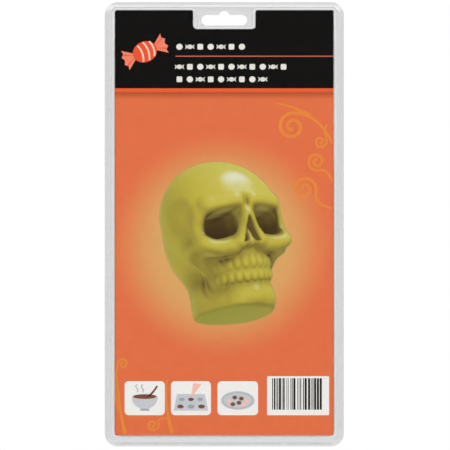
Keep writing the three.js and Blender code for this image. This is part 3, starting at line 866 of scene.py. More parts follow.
def mould_half(name, relief, node, body, turned, detail):
    low, high = (back_low, back_high) if turned else (face_low, face_high)
    bottom, top = low[2], high[2]

    def place(x, v):
        return (-x, top - BASE_TO_END - v) if turned else (x, bottom + BASE_TO_END + v)

    skin = Skin()
    inside = skin.edge(rectangle(mould_half_width, bottom, top, MOULD_CORNER), MOULD_FRONT)
    # The bead, the cavity's rim and the studs get a painted highlight
    rows = [(Skin.SUPPORT - BEAD_START, MOULD_FRONT)]
    for t in np.linspace(0, 1, 15):
        press = BEAD_DEPTH * smooth(0, BEAD_SIDE_SHARE, t) * smooth(0, BEAD_SIDE_SHARE, 1 - t)
        rows.append((-BEAD_START - BEAD_SPAN * t, MOULD_FRONT + press, MOULD_BEAD_HIGHLIGHT))
    rows.append((-BEAD_START - BEAD_SPAN - Skin.SUPPORT, MOULD_FRONT))
    half = mould_half_width - BEAD_INSET
    bead_corners = rectangle(half, bottom + BEAD_INSET, top - BEAD_INSET, BEAD_CORNER)
    around, within = skin.terrace(bead_corners, rows)
    skin.fill(inside, [around])
    rim = relief_grid(skin, relief, place, *detail)
    outline = np.array([(skin.points[i][0], skin.points[i][2]) for i in rim])
    lips = []
    for a in RIM_ANGLES:
        lip = shrink(outline, -RIM_RADIUS * (1 - math.sin(a)))
        lips.append(skin.ring(lip, MOULD_FRONT + RIM_RADIUS * (1 - math.cos(a)), SOFT_BEND_HIGHLIGHT))
    holes = [skin.bands([*lips, rim])[0]]
    fit, way = (0, -1) if turned else (STUD_FIT, 1)
    rise = way * (STUD_HEIGHT + fit)
    for x in (-STUD_FROM_MIDDLE, STUD_FROM_MIDDLE):
        for z in (bottom + STUD_FROM_END, top - STUD_FROM_END):
            stud = [(circle(x, z, STUD_RADIUS + fit + out), share) for out, share in STUD_SHAPE]
            rings = [skin.ring(c, MOULD_FRONT + rise * share, SOFT_BEND_HIGHLIGHT) for c, share in stud]
            foot, tip = skin.bands(rings)
            skin.fill(tip)
            holes.append(foot)
    skin.fill(within, holes)
    add_sheet(name, skin, "mould_clear", body, node)


def mould_crease():
    """The strip of sheet that both mould halves hang on."""
    low, high = face_high[2], back_low[2]
    half = mould_half_width - MOULD_CORNER
    across, up = np.linspace(-half, half, 12), np.linspace(low, high, 9)
    skin = Skin()
    skin.points = [(x, MOULD_FRONT, z) for z in up for x in across]
    # The crease strip gets a faint painted highlight
    skin.marks = [(SOFT_BEND_HIGHLIGHT, 0.0)] * len(skin.points)
    skin.grid(0, len(across), len(up))
    obj = link_object("mould_crease", skin.mesh("mould_crease"))
    thicken(obj, "mould_clear")
    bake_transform(obj)


# The printed picture: a plain skull, drawn here as a form and lit for the picture


def unit(v):
    v = np.asarray(v, float)
    return v / np.linalg.norm(v)


def turned_about(axis, degrees):
    """A rotation about X, Y or Z, which are axes 0, 1 and 2."""
    i, j = (axis + 1) % 3, (axis + 2) % 3
    turn = np.eye(3)
    turn[i, i] = turn[j, j] = math.cos(math.radians(degrees))
    turn[j, i] = math.sin(math.radians(degrees))
    turn[i, j] = -turn[j, i]
    return turn


# How the skull is turned in the picture, and the slope and place of its flat base
SKULL_TURN = turned_about(1, -9.0) @ turned_about(0, 9.0) @ turned_about(2, -26.5)
SKULL_MIDDLE = np.array((0.0, 1.0, 42.0))
VIEW_DISTANCE = 420.0
VIEW_REACH = 60.0
BASE_NORMAL = SKULL_TURN.T @ unit((-0.05, -0.26, 1))
BASE_CUT = 3.5
LEAN = 0.2
LEAN_FROM = 46
# An eye socket: a squarish hollow, a little tilted, that ends at its back
SOCKET_ACROSS, SOCKET_UP, SOCKET_BACK = 11.8, 45.9, 8
SOCKET_HALF_WIDTH, SOCKET_HALF_HEIGHT, SOCKET_SQUARENESS = 8.6, 6.4, 3.8
SOCKET_TILT, SOCKET_TILT_FROM = 0.1, 13


def ellipsoid(p, centre, radii):
    q = (p - np.array(centre)) / np.array(radii)
    k0 = np.linalg.norm(q, axis=-1)
    k1 = np.linalg.norm(q / np.array(radii), axis=-1)
    return k0 * (k0 - 1) / np.maximum(k1, 1e-9)


def capsule(p, a, b, ra, rb):
    a, b = np.array(a, float), np.array(b, float)
    t = np.clip(((p - a) @ (b - a)) / ((b - a) @ (b - a)), 0, 1)
    return np.linalg.norm(p - a - t[..., None] * (b - a), axis=-1) - (ra + (rb - ra) * t)


def join(a, b, k):
    h = np.clip(0.5 + 0.5 * (b - a) / k, 0, 1)
    return b + (a - b) * h - k * h * (1 - h)


def carve(a, b, k):
    return -join(-a, b, k)


def teeth_row(p, z, forward, count, radii, arch):
    d = np.full(p.shape[:-1], 1e9)
    for i in range(count):
        angle = (i - (count - 1) / 2) * TOOTH_STEP
        x, y = arch[0] * math.sin(angle), arch[1] + arch[2] * math.cos(angle)
        size = 1 + 0.12 * math.cos(angle * 2)
        tooth = (radii[0] * size, radii[1], radii[2] * size)
        d = np.minimum(d, ellipsoid(p, (x, y + forward, z), tooth))
    return d


def upright(q):
    """The skull's own place of a point: the face leans forward towards the jaw."""
    p = q.copy()
    p[..., 1] -= LEAN * (LEAN_FROM - p[..., 2])
    return p


def socket_hole(p):
    across = np.abs(p[..., 0] - SOCKET_ACROSS) / SOCKET_HALF_WIDTH
    tilt = SOCKET_TILT * (p[..., 0] - SOCKET_TILT_FROM)
    up = np.abs(p[..., 2] - SOCKET_UP + tilt) / SOCKET_HALF_HEIGHT
    reach = (across**SOCKET_SQUARENESS + up**SOCKET_SQUARENESS) ** (1 / SOCKET_SQUARENESS)
    return carve(SOCKET_BACK - p[..., 1], (1 - reach) * 6.5, 7)


# The cranium is an egg: its middle and its radii
CRANIUM = ((0, 1, 54), (31.5, 32.5, 32))
# Forms that swell the head: an egg has its middle and radii, a bar its two ends and their radii.
# The last number of each is how softly it joins.
HEAD_FORMS = [
    # back of the head and the neck of the casting under it
    ("egg", (0, 15, 54), (25, 20, 24), 8),
    ("egg", (0, -15, 42), (26, 21, 25), 6),
    ("egg", (0, -17, 8), (17.5, 18, 28), 9),
    # jaw and chin
    ("egg", (0, -2, 4), (17, 20, 20), 9),
    ("bar", (14, -6, 15), (8, 15, 9.5), (6, 5), 9),
    ("egg", (0, 10, 27), (16.5, 17, 16), 6),
    ("bar", (0, 20, 11), (5, 18.5, 11), (5, 4.6), 6),
    # brow, outer edge of the socket, cheekbone and the cheek under it
    ("bar", (5, 33.2, 56.9), (17.5, 29, 56.3), (4.3, 4.2), 2.6),
    ("bar", (17.5, 27, 56), (23.5, 19, 48), (4, 3.6), 4),
    ("bar", (23.5, 19, 48), (21.2, 22.5, 37), (3.6, 4.6), 3),
    ("bar", (9, 28, 35), (20, 24.5, 35.5), (3.4, 4.8), 4),
    ("bar", (20, 24.5, 35.5), (23.6, 14, 35.5), (4.8, 4.4), 5),
    ("bar", (23, 13.5, 33.5), (18.5, 10, 27.5), (4.6, 3), 6),
]
TEMPLE = ((34, 17, 53), (6, 8, 9))
CHEEK = ((24.5, 22, 26.5), (6, 9, 5))
HOLLOW_SOFTNESS = 7
NOSE_BRIDGE = [
    ("bar", (0, 29.5, 54), (0, 32.5, 48), (3, 2.4), 3.5),
    ("bar", (1.2, 32.5, 48), (5.4, 30.5, 36.5), (1.8, 2.8), 2.5),
]
NOSE_WALL = [("bar", (0, 28.5, 47), (0, 30.5, 36), (0.9, 1.8), 2.4)]
# The nose opening: its top, its foot, how deep it goes, and how it widens downwards
OPENING_TOP, OPENING_FOOT, OPENING_BACK = 48, 36.2, 25
OPENING_SLOPE, OPENING_POINT = 0.32, 0.3
# Teeth on an arch: height, how far forward, count, radii, and the arch's half width, middle and depth
ROOTS = (33.8, -0.3, 7, (2, 1.8, 3.2), (15, 9.2, 16.2))
UPPER_TEETH = (27.4, 0.4, 13, (2.1, 2.2, 3.3), (15.4, 9.4, 16.6))
LOWER_TEETH = (20.6, -0.4, 13, (1.9, 1.9, 2.8), (15, 9.2, 15.8))
TOOTH_STEP = math.radians(14.5)
# Folds beside the mouth: their middle from the side, and each one's radius and depth
FOLD_MIDDLE = (12.5, 24.5)
FOLDS = ((9.2, 0.5), (13, 0.5))
# A ray ends this near to the surface. A step along it is a share of the distance left, with a least length.
SURFACE_NEAR = 0.04
MARCH_STEPS, MARCH_SHARE, MARCH_LEAST = 90, 0.8, 0.03


def swell(d, p, forms):
    for kind, *form, soft in forms:
        d = join(d, ellipsoid(p, *form) if kind == "egg" else capsule(p, *form[:2], *form[2]), soft)
    return d


def skull(q):
    """Distance to the skull. Its base is near z 0, its crown at z 85, and it faces +Y."""
    leant = upright(q)
    p = leant.copy()
    p[..., 0] = np.abs(p[..., 0])
    x, y, z = p[..., 0], p[..., 1], p[..., 2]
    d = swell(ellipsoid(p, *CRANIUM), p, HEAD_FORMS)
    for hollow in (TEMPLE, CHEEK):
        d = carve(d, ellipsoid(p, *hollow), HOLLOW_SOFTNESS)
    d = carve(d, socket_hole(p), 3.4)
    # nose: a bridge, a three-cornered opening and the thin wall inside it
    d = swell(d, p, NOSE_BRIDGE)
    opening = np.maximum(z - OPENING_TOP, OPENING_FOOT - z)
    opening = np.maximum(opening, x - (OPENING_TOP - z) * OPENING_SLOPE - OPENING_POINT)
    d = carve(d, np.maximum(opening, OPENING_BACK - y), 1.8)
    d = swell(d, p, NOSE_WALL)
    d = join(d, teeth_row(leant, *ROOTS), 2.5)
    d = join(d, np.minimum(teeth_row(leant, *UPPER_TEETH), teeth_row(leant, *LOWER_TEETH)), 1.5)
    # shallow grooves: between the brows, and the folds beside the mouth
    d = d + 1.6 * bell(x, 1.5) * bell(z - 55.3, 3.2) * (y > 20)
    around = np.hypot(y - FOLD_MIDDLE[0], z - FOLD_MIDDLE[1])
    behind_mouth = np.clip((9 - y) / 6, 0, 1)
    for radius, deep in FOLDS:
        d = d + deep * bell(around - radius, 1.3) * behind_mouth
    return -join(-d, q @ BASE_NORMAL - BASE_CUT, 2.0)


def march(u, w):
    """Follows a ray for each place of the picture until it meets the skull."""
    eye = np.array((0.0, VIEW_DISTANCE, 0.0))
    ray = np.stack([u, np.zeros_like(u), w], -1) - eye
    ray /= np.linalg.norm(ray, axis=-1, keepdims=True)
    origin = SKULL_TURN.T @ eye + SKULL_MIDDLE
    ray = ray @ SKULL_TURN
    depth = np.full(len(ray), VIEW_DISTANCE - VIEW_REACH)
    live = np.arange(len(ray))
    nearest = np.full(len(ray), 1e9)
    for _ in range(MARCH_STEPS):
        d = skull(origin + ray[live] * depth[live, None])
        nearest[live] = np.minimum(nearest[live], d)
        depth[live] += np.maximum(d * MARCH_SHARE, MARCH_LEAST)
        live = live[(d > SURFACE_NEAR) & (depth[live] < VIEW_DISTANCE + VIEW_REACH)]
        if not len(live):
            break
    return origin + ray * depth[:, None], ray, nearest


# The skull's colours from its darkest to its lightest tone, and the lights that fall on it in the picture
TONES = (0, 0.12, 0.3, 0.5, 0.72, 0.9, 1.2)
SKULL_SHADES = [(38, 24, 5), (68, 49, 16), (128, 112, 46), (159, 145, 55)]
SKULL_SHADES += [(187, 172, 61), (203, 189, 73), (214, 207, 108)]
SHINE = (228, 231, 222)
RIM = (205, 215, 150)
UNDERSIDE = (136, 138, 50)
KEY_LIGHT = unit((0.48, 0.42, 0.77))
FILL_LIGHT = unit((-0.9, 0.35, 0.1))
BOUNCE_LIGHT = unit((-0.2, 0.6, -0.75))
SHINE_LIGHT = unit((0.25, 0.67, 0.69))
# How strongly each light counts
AMBIENT, KEY_SHARE, FILL_SHARE, FRONT_SHARE, BOUNCE_SHARE = 0.35, 0.53, 0.14, 0.08, 0.16
# How far out from the surface the skull's own shade is measured, how much less each further one counts,
# how strong the shade is, and how much light it leaves
SHADE_REACHES = (1.2, 2.6, 4.6, 7.5, 12)
SHADE_FALL, SHADE_STRENGTH, SHADE_LEAVES = 0.85, 0.42, 0.34
SOCKET_DARKNESS, SOCKET_TOP_LIGHT = 0.93, 0.28
# The key light's shadow: where its ray starts, how it steps, and how sharp and how light the shadow is
SHADOW_LIFT, SHADOW_START, SHADOW_STEPS, SHADOW_STEP = 0.4, 1.5, 22, (0.6, 5)
SHADOW_SHARPNESS, SHADOW_LIGHTNESS = 6, 0.25
# Highlights: the bright spot, the sheen round it, and how much of both is left on the lower head
SPOT, SPOT_SHARE = (0.95, 0.999), 0.82
SHEEN_POWER, SHEEN_SHARE = 7, 0.14
LOW_SHINE = 0.4
SHINE_FROM, SHINE_TO = 62, 72
RIM_SHARE = 0.4
NORMAL_STEP = 0.35


def skull_colours(points, ray):
    """The picture's colours, as screen values, from light, shade and shine on the skull."""
    n = np.stack([skull(points + o) - skull(points - o) for o in np.eye(3) * NORMAL_STEP], -1)
    n /= np.maximum(np.linalg.norm(n, axis=-1, keepdims=True), 1e-9)
    hidden = np.zeros(len(points))
    for i, reach in enumerate(SHADE_REACHES):
        hidden += (reach - np.clip(skull(points + n * reach), 0, reach)) / reach * (SHADE_FALL**i)
    sky = np.clip(1 - hidden * SHADE_STRENGTH, 0, 1)
    shadow = np.ones(len(points))
    t = np.full(len(points), SHADOW_START)
    for _ in range(SHADOW_STEPS):
        d = skull(points + n * SHADOW_LIFT + (SKULL_TURN.T @ KEY_LIGHT) * t[:, None])
        shadow = np.minimum(shadow, np.clip(SHADOW_SHARPNESS * d / t + SHADOW_LIGHTNESS, 0, 1))
        t += np.clip(d, *SHADOW_STEP)
    seen_n = n @ SKULL_TURN.T

    def towards(light):
        return np.clip(seen_n @ light, 0, 1)

    front = np.clip(seen_n[:, 1], 0, 1) ** 2
    light = AMBIENT + KEY_SHARE * towards(KEY_LIGHT) * shadow + FILL_SHARE * towards(FILL_LIGHT)
    light += FRONT_SHARE * front + BOUNCE_SHARE * towards(BOUNCE_LIGHT)
    light *= SHADE_LEAVES + (1 - SHADE_LEAVES) * sky
    p = upright(points)
    p[..., 0] = np.abs(p[..., 0])
    in_socket = np.clip((2.2 - socket_hole(p)) / 3, 0, 1) * np.clip((33.5 - p[..., 1]) / 10, 0, 1)
    light *= 1 - in_socket * (SOCKET_DARKNESS - SOCKET_TOP_LIGHT * smooth(43, 52, p[..., 2]))
    tone = np.clip(light, 0, TONES[-1])
    shades = np.array(SKULL_SHADES, float).T
    colour = np.stack([np.interp(tone, TONES, shade) for shade in shades], -1)

    def blend_in(tint, share):
        return (np.array(tint) - colour) * share[:, None]

    shine = towards(SHINE_LIGHT) * shadow
    gloss = smooth(*SPOT, shine) * SPOT_SHARE + shine**SHEEN_POWER * SHEEN_SHARE
    gloss *= LOW_SHINE + (1 - LOW_SHINE) * smooth(SHINE_FROM, SHINE_TO, points[:, 2])
    colour += blend_in(SHINE, np.clip(gloss, 0, 1))
    facing = np.clip((n * -ray).sum(-1), 0, 1)
    colour += blend_in(RIM, (1 - facing) ** 3 * sky * RIM_SHARE)
    on_base = 1 - smooth(0.2, 1.8, points @ BASE_NORMAL - BASE_CUT)
    colour += blend_in(UNDERSIDE, on_base * (0.5 - 0.2 * smooth(-20, 20, points[:, 0])))
    return np.clip(colour, 0, 255)


# The picture: its place and stretch on the card, the part of its view that holds the skull, and its cells
PICTURE_X, PICTURE_Z = -0.6, -123.2
PICTURE_WIDTH, PICTURE_HEIGHT = 0.975, 1.03
PICTURE_ACROSS = (-37.0, 41.0)
PICTURE_UP = (-46.0, 46.0)
PICTURE_CELL, QUICK_CELL = 0.35, 0.8
PICTURE_EDGE = 0.35


def skull_picture():
    """The picture as a fine sheet of coloured cells, only as large as the skull."""
    cell = PICTURE_CELL
    sides = [np.arange(low, high + cell / 2, cell) for low, high in (PICTURE_ACROSS, PICTURE_UP)]
    u, w = np.meshgrid(*sides)
    points, ray, nearest = march(u.ravel(), w.ravel())
    cover = np.clip(1 - (nearest - 0.1) / PICTURE_EDGE, 0, 1)
    hit = cover > 0
    colours = np.zeros((u.size, 4), np.float32)
    colours[hit, :3] = linear(skull_colours(points[hit], ray[hit]))
    colours[:, 3] = 1
    cells = hit.reshape(u.shape)
    used = cells[:-1, :-1] | cells[1:, :-1] | cells[:-1, 1:] | cells[1:, 1:]
    index = np.arange(u.size).reshape(u.shape)
    quads = np.stack([index[:-1, :-1], index[:-1, 1:], index[1:, 1:], index[1:, :-1]], -1)[used]
    kept, faces = np.unique(quads, return_inverse=True)
    across = u.ravel()[kept] * PICTURE_WIDTH + PICTURE_X
    up = w.ravel()[kept] * PICTURE_HEIGHT + PICTURE_Z
    verts = np.stack([across, np.full(len(kept), card_low[1] - INK), up], 1)
    data = bpy.data.meshes.new("skull_picture")
    data.from_pydata((verts * MM).tolist(), [], faces.reshape(-1, 4).tolist())
    tint = data.attributes.new("picture", "FLOAT_COLOR", "POINT")
    tint.data.foreach_set("color", colours[kept].ravel())
    part = data.attributes.new("part", "FLOAT", "POINT")
    part.data.foreach_set("value", cover[kept].astype(np.float32))
    data.update()
    obj = add_print("skull_picture", data, picture_material())
    solid = obj.modifiers.new("ink", "SOLIDIFY")
    solid.thickness = INK * INK_SHARE * MM
    solid.offset = -1


# Printed ornaments and pictograms. Places with PX in their names are read off the photo, in its pixels.


def to_card(px, py):
    """A place read off the photo, in its pixels, as millimetres on the card."""
    return VIEW_X + (px - PHOTO_MIDDLE) * MM_PER_PIXEL, VIEW_Z - (py - PHOTO_MIDDLE) * MM_PER_PIXEL


def anticlockwise(outline):
    x, z = np.asarray(outline, float).T
    area = (x * np.roll(z, -1) - np.roll(x, -1) * z).sum()
    return np.asarray(outline, float)[:: 1 if area > 0 else -1]


def ribbon(points, width):
    """An outline round a curve of points, with a width that may change along it."""
    points = np.asarray(points, float)
    along = np.gradient(points, axis=0)
    along /= np.linalg.norm(along, axis=1, keepdims=True)
    half = np.broadcast_to(width, len(points))[:, None] / 2
    side = np.stack([-along[:, 1], along[:, 0]], 1) * half
    return anticlockwise(np.concatenate([points - side, (points + side)[::-1]]))


def placed(outline, x, z, turn=0.0):
    """An outline drawn round its own middle, turned and moved to its place."""
    c, s = math.cos(turn), math.sin(turn)
    return anticlockwise(np.asarray(outline, float) @ np.array(((c, s), (-s, c))) + (x, z))


def bow(a, b, bulge, steps=28):
    """A curve that bows sideways between two places."""
    a, b = np.array(a, float), np.array(b, float)
    t = np.linspace(0, 1, steps)[:, None]
    across = np.array((-(b - a)[1], (b - a)[0]))
    return a + (b - a) * t + across * bulge * 4 * t * (1 - t)


# Scrolls: how far in a spiral winds, and its width and its bud, each a length and a share of its radius
SPIRAL_SHRINK = 0.78
SCROLL_WIDTH = (0.75, 0.14)
BUD = (0.4, 0.11)


def scroll(root, centre, radius, start, hand=1, turns=1.5):
    """A stem that runs into a spiral, and the bud at the spiral's middle."""
    t = np.linspace(0, 1, 48)
    angle = math.radians(start) + hand * turns * 2 * math.pi * t
    reach = radius * (1 - SPIRAL_SHRINK * t)
    spiral = np.stack([centre[0] + reach * np.cos(angle), centre[1] + reach * np.sin(angle)], 1)
    root = np.array(root, float)
    along = (spiral[1] - spiral[0]) / np.linalg.norm(spiral[1] - spiral[0])
    bend = spiral[0] - along * 0.5 * np.linalg.norm(spiral[0] - root)
    s = np.linspace(0, 1, 20)[:-1, None]
    stem = (1 - s) ** 2 * root + 2 * (1 - s) * s * bend + s**2 * spiral[0]
    points = np.concatenate([stem, spiral])
    fullness = np.sin(np.linspace(0.12, 0.85, len(points)) * math.pi)
    width = (SCROLL_WIDTH[0] + SCROLL_WIDTH[1] * radius) * (0.45 + 0.55 * fullness)
    return ribbon(points, width), circle(*spiral[-1], BUD[0] + BUD[1] * radius, 18)


# Each scroll: where it springs from, its middle, radius and start in degrees, then its hand and turns
SCROLLS = [
    ((57.3, -70.5), (36.0, -61.5), 7.4, 75),
    ((54.5, -60.0), (51.0, -69.5), 3.6, 30, -1, 1.3),
    ((57.3, -91.0), (49.0, -80.0), 5.0, -70, -1),
    ((57.3, -105.0), (42.5, -94.5), 6.4, -20, 1),
    ((-56.4, -212.0), (-53.8, -187.5), 2.8, 180, -1, 1.3),
    ((-28.6, -216.6), (-38.0, -219.9), 3.3, 20, -1, 1.3),
]
# Each plain stem: its two ends and how far it bows
STEMS = [
    ((46.0, -56.0), (27.0, -49.0), -0.05),
    ((-27.6, -224.4), (-30.4, -196.0), 0.05),
    ((-52.6, -224.6), (-56.6, -194.0), 0.03),
]
STEM_WIDTH = (1.9, 0.7)


def ornaments():
    """Plain scrolls at two edges of the panel."""
    gold = ink("gold_print", GOLD)
    scrolls = [scroll(*values) for values in SCROLLS]
    stems = [bow(*values) for values in STEMS]
    tops = [[bud] for _, bud in scrolls]
    tops += [[ribbon(stem, np.linspace(*STEM_WIDTH, len(stem)))] for stem in stems]
    print_layer("scrolls_under", [[outline] for outline, _ in scrolls[::2]], gold)
    print_layer("scrolls_over", [[outline] for outline, _ in scrolls[1::2]], gold, 2)
    print_layer("scroll_buds", tops, gold, 3)


# The header's sweet: its place, tilt and size, and its parts round its own middle
SWEET_PX = (145, 52)
SWEET_TURN = 0.42
SWEET_HALF = (6.6, 5.5)
FAN = [(5.2, 1.1), (11.4, 5.6), (11.0, 3.4), (12.6, 2.1), (11.5, 0)]
FAN += [(x, -z) for x, z in FAN[3::-1]]
FAN_FOLD = [(5.6, 0.35), (11.2, 3.3), (10.9, 2.4)]
STRIPE_PLACES = (-2.9, 0.4, 3.7)
STRIPE_REACH, STRIPE_LEAN, STRIPE_BOW, STRIPE_WIDTH = 5.0, 0.6, -0.12, 0.95


def wrapped_sweet():
    """A wrapped sweet, in the header's corner."""

    def put(outline):
        return [placed(outline, *to_card(*SWEET_PX), SWEET_TURN)]

    body = ink("sweet_print", SWEET)
    fans = [put(np.array(FAN) * (side, 1)) for side in (1, -1)]
    folds = [put(np.array(FAN_FOLD) * (side, up)) for side in (1, -1) for up in (-1, 1)]
    stripes = []
    for middle in STRIPE_PLACES:
        reach = STRIPE_REACH * math.sqrt(1 - (middle / SWEET_HALF[0]) ** 2)
        curve = bow((middle, -reach), (middle + STRIPE_LEAN, reach), STRIPE_BOW, 16)
        stripes.append(put(ribbon(curve, STRIPE_WIDTH)))
    print_layer("sweet_wrapper", fans, ink("wrapper_print", WRAPPER))
    print_layer("sweet_folds", folds, body, 2)
    print_layer("sweet_body", [put(oval(0, 0, *SWEET_HALF))], body, 2)
    print_layer("sweet_stripes", stripes, ink("pale_print", STRIPE), 3)


def tile(px0, px1, py0, py1, radius):
    (x0, z1), (x1, z0) = to_card(px0, py0), to_card(px1, py1)
    middle = (x0 + x1) / 2
    return rounded([(x + middle, z, r) for x, z, r in rectangle((x1 - x0) / 2, z0, z1, radius)], 0, 6)


# The header's rows: each one's height, number of sweets and first kind, then their start and step
ROWS_PX = ((47, 7, 0), (67, 11, 1), (79.5, 9, 2))
ROW_START_PX, ROW_STEP_PX = 179.5, 10.4
RULE_PX = (175.5, 333, 55.9, 56.9)
BAR_CORNER = 0.1
TWIST = np.array([(1.0, 0.2), (2.5, 1.3), (2.1, 0), (2.5, -1.3), (1.0, -0.2)])


def header_rows():
    """Rows of plain small sweets, and the thin rule between them."""
    kinds = [
        [oval(0, 0, 1.7, 1.6, 20)],
        [oval(0, 0, 1.5, 1.2, 20), TWIST, TWIST * (-1, 1)],
        [rounded(rectangle(1.5, -1.5, 1.5, 0.6), 0, 4)],
    ]
    shapes = []
    for py, count, first in ROWS_PX:
        for i in range(count):
            x, z = to_card(ROW_START_PX + i * ROW_STEP_PX, py)
            shapes += [[placed(outline, x, z)] for outline in kinds[(i + first) % 3]]
    print_layer("header_sweets", shapes, ink("cream_print", CREAM))
    print_layer("header_rule", [[tile(*RULE_PX, BAR_CORNER)]], ink("rule_print", RULE))


# The small tiles' sides in the photo, and their corners
TILES_PX = ((124.7, 165), (171, 211), (217.5, 258))
TILES_UP_PX = (381, 415)
TILE_CORNER = 2.2
# Parts of the pictograms, round their tile's middle
BOWL_WIDTH, BOWL_DEPTH, BOWL_TOP = 7, 6.6, 0.8
BOWL_FOOT = [(-2.6, -6.6), (2.6, -6.6), (2.2, -5.6), (-2.2, -5.6)]
CHOCOLATE = (0, 0.9, 6.3, 1.25)
SPOON, SPOON_WIDTH = ((2.2, 1.2), (6.6, 6.6), -0.05), 1.0
STEAM_PLACES, STEAM_WIDTH = (-4.2, -1.2), 0.45
STEAM_FOOT, STEAM_RISE, STEAM_SWAY, STEAM_WAVES = 3.2, 4.2, 0.55, 6.5
TIN = [(-9.2, -6.6), (9.2, -6.6), (7.4, 2.2), (-7.4, 2.2)]
# The tin's rows of hollows: height, half width, and the step from one to the next
HOLLOWS = ((-4.4, 1.75, 5.6), (-0.6, 1.5, 4.9))
BAG = [(0.1, 0.9), (0.9, 1.2), (5.6, 7.6), (1.2, 8.0)]
PLATE, PLATE_RING = (0, -1.2, 9, 5), ((0, -1.2, 8.1, 4.3), (0, -1.2, 7.7, 4.0))
PLATE_SWEETS = [(-4.6, -1.4), (-1.6, 0.4), (1.9, -0.2), (4.9, -1.2)]
PLATE_SWEETS += [(-2.6, -3.2), (0.6, -2.4), (3.2, -3.4)]
PLATE_SWEET_HALF = (1.25, 1.05)


def printed_tiles():
    """Three tiles that show the steps: melt, fill and serve, as plain pictograms."""
    tiles = [tile(*across, *TILES_UP_PX, TILE_CORNER) for across in TILES_PX]
    melt, fill, serve = ((t.min(0) + t.max(0)) / 2 for t in tiles)

    def at(middle, outline):
        return [placed(outline, *middle)]

    # melt: a bowl of chocolate with a spoon in it, and steam
    angles = np.linspace(math.pi, 2 * math.pi, 18)
    bowl = [(BOWL_WIDTH * math.cos(a), BOWL_TOP + BOWL_DEPTH * math.sin(a)) for a in angles]
    grey, dark, pink = [at(melt, bowl)], [at(melt, BOWL_FOOT)], []
    sweet = [at(melt, oval(*CHOCOLATE)), at(melt, ribbon(bow(*SPOON), SPOON_WIDTH))]
    for x in STEAM_PLACES:
        t = np.linspace(0, 1, 20)
        wave = np.stack([x + STEAM_SWAY * np.sin(t * STEAM_WAVES), STEAM_FOOT + t * STEAM_RISE], 1)
        dark.append(at(melt, ribbon(wave, STEAM_WIDTH)))
    # fill: a mould with round hollows, and a bag over one of them
    grey.append(at(fill, TIN))
    for row, (z, size, gap) in enumerate(HOLLOWS):
        for i in range(3):
            (dark if (i + row) % 2 else sweet).append(at(fill, oval((i - 1) * gap, z, size, size * 0.6)))
    pink.append(at(fill, BAG))
    # serve: a plate of sweets
    grey.append(at(serve, oval(*PLATE)))
    dark.append([placed(oval(*edge), *serve) for edge in PLATE_RING])
    for i, (x, z) in enumerate(PLATE_SWEETS):
        (sweet if i % 3 else pink).append(at(serve, oval(x, z, *PLATE_SWEET_HALF)))
    print_layer("tiles", [[outline] for outline in tiles], ink("white_print", CARD_WHITE, 0.02), 2)
    print_layer("tile_grey", grey, ink("silver_print", SILVER), 3)
    print_layer("tile_dark", dark, ink("shade_print", GREY), 4)
    print_layer("tile_sweets", sweet, ink("brown_print", BROWN), 5)
    print_layer("tile_blush", pink, ink("blush_print", BLUSH), 5)


# The panel of bars in the photo, and where its bars start and end
BAR_PANEL_PX = (267, 329, 376, 415)
BAR_PANEL_CORNER = 0.6
BARS_START_PX, BARS_END_PX = 272.0, 322
BARS_UP_PX = (378, 409.5)
BAR_WIDTHS_PX = (0.55, 0.9, 0.9, 1.5, 2.1)
BAR_GAPS_PX = (0.7, 0.9, 1.3, 1.9)


def bar_panel():
    """A white panel with uneven bars."""
    print_layer("bar_panel", [[tile(*BAR_PANEL_PX, BAR_PANEL_CORNER)]], ink("panel_print", CARD_WHITE, 0.02))
    dice = random.Random(7)
    bars, x = [], BARS_START_PX
    while x < BARS_END_PX:
        wide = dice.choice(BAR_WIDTHS_PX)
        bars.append([tile(x, x + wide, *BARS_UP_PX, BAR_CORNER)])
        x += wide + dice.choice(BAR_GAPS_PX)
    print_layer("bars", bars, ink("black_print", BAR_BLACK), 2)


pack_plastic = clear_plastic(
    "pack_plastic",
    tint=(246, 246, 246),
    flat_tint=(253, 253, 253),
    edge_tint_and_shade=(165, 167, 169),
    haze=0.0,
    roughness=0.05,
    waviness=0.025,
    bend_highlight=0.7,
)
mould_plastic = clear_plastic(
    "mould_plastic",
    tint=(248, 249, 250),
    flat_tint=(250, 250, 250),
    edge_tint_and_shade=(150, 156, 160),
    haze=0.02,
    roughness=0.12,
    waviness=0.05,
    bend_highlight=0.1,
)
# Each clear slot's material and sheet thickness
clear_sheets = {"pack_clear": (pack_plastic, PACK_SHEET), "mould_clear": (mould_plastic, MOULD_SHEET)}

# Columns to a side, rows up to the widest height and rows of the crown
RELIEF_DETAIL, QUICK_DETAIL = (34, 70, 22), (18, 30, 12)
detail = RELIEF_DETAIL

front_cover()
back_shell()
printed_card()
mould_half("mould_face_sheet", face_relief, "mould_face_half", "tray", False, detail)
mould_half("mould_back_sheet", head_back_relief, "mould_back_half", "mould_fold_leaf", True, detail)
mould_crease()
ornaments()
wrapped_sweet()
header_rows()
printed_tiles()
bar_panel()
skull_picture()


# Studio: camera, background, floor and lamps, in metres but for the floor's height
LENS = 200.0
SENSOR = 36.0
CLIP_END = 50
FLOOR_Z = -520.0
FLOOR_HALF = 2.5
WORLD_LIGHT = 0.96
# What mirrors in clear plastic, from the direction straight ahead of the object's front, where Y is -1:
# between which Y the room goes from dark to light, and how light it is at each
MIRRORED_FROM, MIRRORED_LIGHT = (-0.95, -0.2), (0.03, 1.0)
FLOOR_TONES = ((0.9, 0.9, 0.9), (0.94, 0.94, 0.94))
LAMP_SIZE = 0.7
# Each lamp's name, place and watts
LAMPS = (("key_lamp", (-0.9, -1.0, 0.7), 7.5), ("fill_lamp", (1.0, -0.9, 0.3), 5))


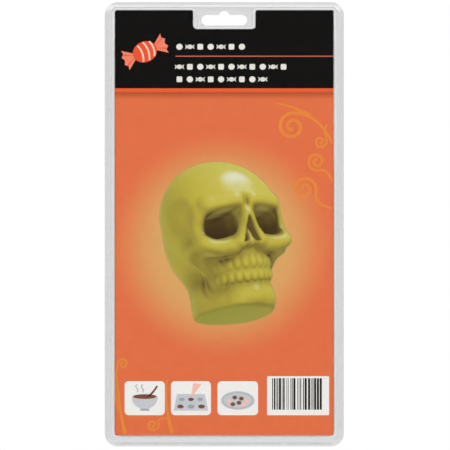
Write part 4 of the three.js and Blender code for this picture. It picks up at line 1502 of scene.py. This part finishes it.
def make_camera():
    camera = bpy.data.cameras.new("camera")
    camera.lens = LENS
    camera.sensor_width = SENSOR
    camera.clip_end = CLIP_END
    obj = link_object("camera", camera)
    distance = PHOTO_SIDE * MM_PER_PIXEL / SENSOR * LENS
    obj.location = (VIEW_X * MM, -distance * MM, VIEW_Z * MM)
    obj.rotation_euler = (math.pi / 2, 0, 0)
    bpy.context.scene.camera = obj


def make_floor():
    mesh = bpy.data.meshes.new("floor")
    corners = [(-1, -1), (1, -1), (1, 1), (-1, 1)]
    points = [(x * FLOOR_HALF, y * FLOOR_HALF, FLOOR_Z * MM) for x, y in corners]
    mesh.from_pydata(points, [], [(0, 1, 2, 3)])
    link_object("floor", mesh)
    n = Nodes(bpy.data.materials.new("floor"))
    pale = n.mix(n.noise(6, detail=3), *FLOOR_TONES)
    mesh.materials.append(n.done(n.out("ShaderNodeBsdfDiffuse", pale)))


def make_world():
    """White behind the object for camera and transmission rays, and a room that mirrors dark ahead."""
    world = bpy.data.worlds.new("studio")
    bpy.context.scene.world = world
    n = Nodes(world)

    def background(strength):
        return n.out("ShaderNodeBackground", (1, 1, 1), strength)

    path = n.add("ShaderNodeLightPath").outputs
    direction = n.add("ShaderNodeSeparateXYZ", n.add("ShaderNodeTexCoord").outputs["Generated"])
    room = n.out("ShaderNodeMapRange", direction.outputs["Y"], *MIRRORED_FROM, *MIRRORED_LIGHT)
    hidden = n.out("ShaderNodeMixShader", path["Is Glossy Ray"], background(WORLD_LIGHT), background(room))
    seen = n.value("MAXIMUM", path["Is Camera Ray"], path["Is Transmission Ray"])
    n.add("ShaderNodeOutputWorld", n.out("ShaderNodeMixShader", seen, hidden, background(1.0)))


def add_lamp(name, place, watts):
    lamp = bpy.data.lights.new(name, "AREA")
    lamp.shape = "RECTANGLE"
    lamp.size = lamp.size_y = LAMP_SIZE
    lamp.energy = watts
    obj = link_object(name, lamp)
    obj.location = place
    aim = Vector((0, 0, VIEW_Z * MM)) - obj.location
    obj.rotation_euler = aim.to_track_quat("-Z", "Y").to_euler()


make_camera()
make_floor()
make_world()
for lamp_values in LAMPS:
    add_lamp(*lamp_values)

scene = bpy.context.scene
scene.view_settings.view_transform = "Standard"
scene.cycles.transparent_max_bounces = 48
scene.cycles.max_bounces = 24
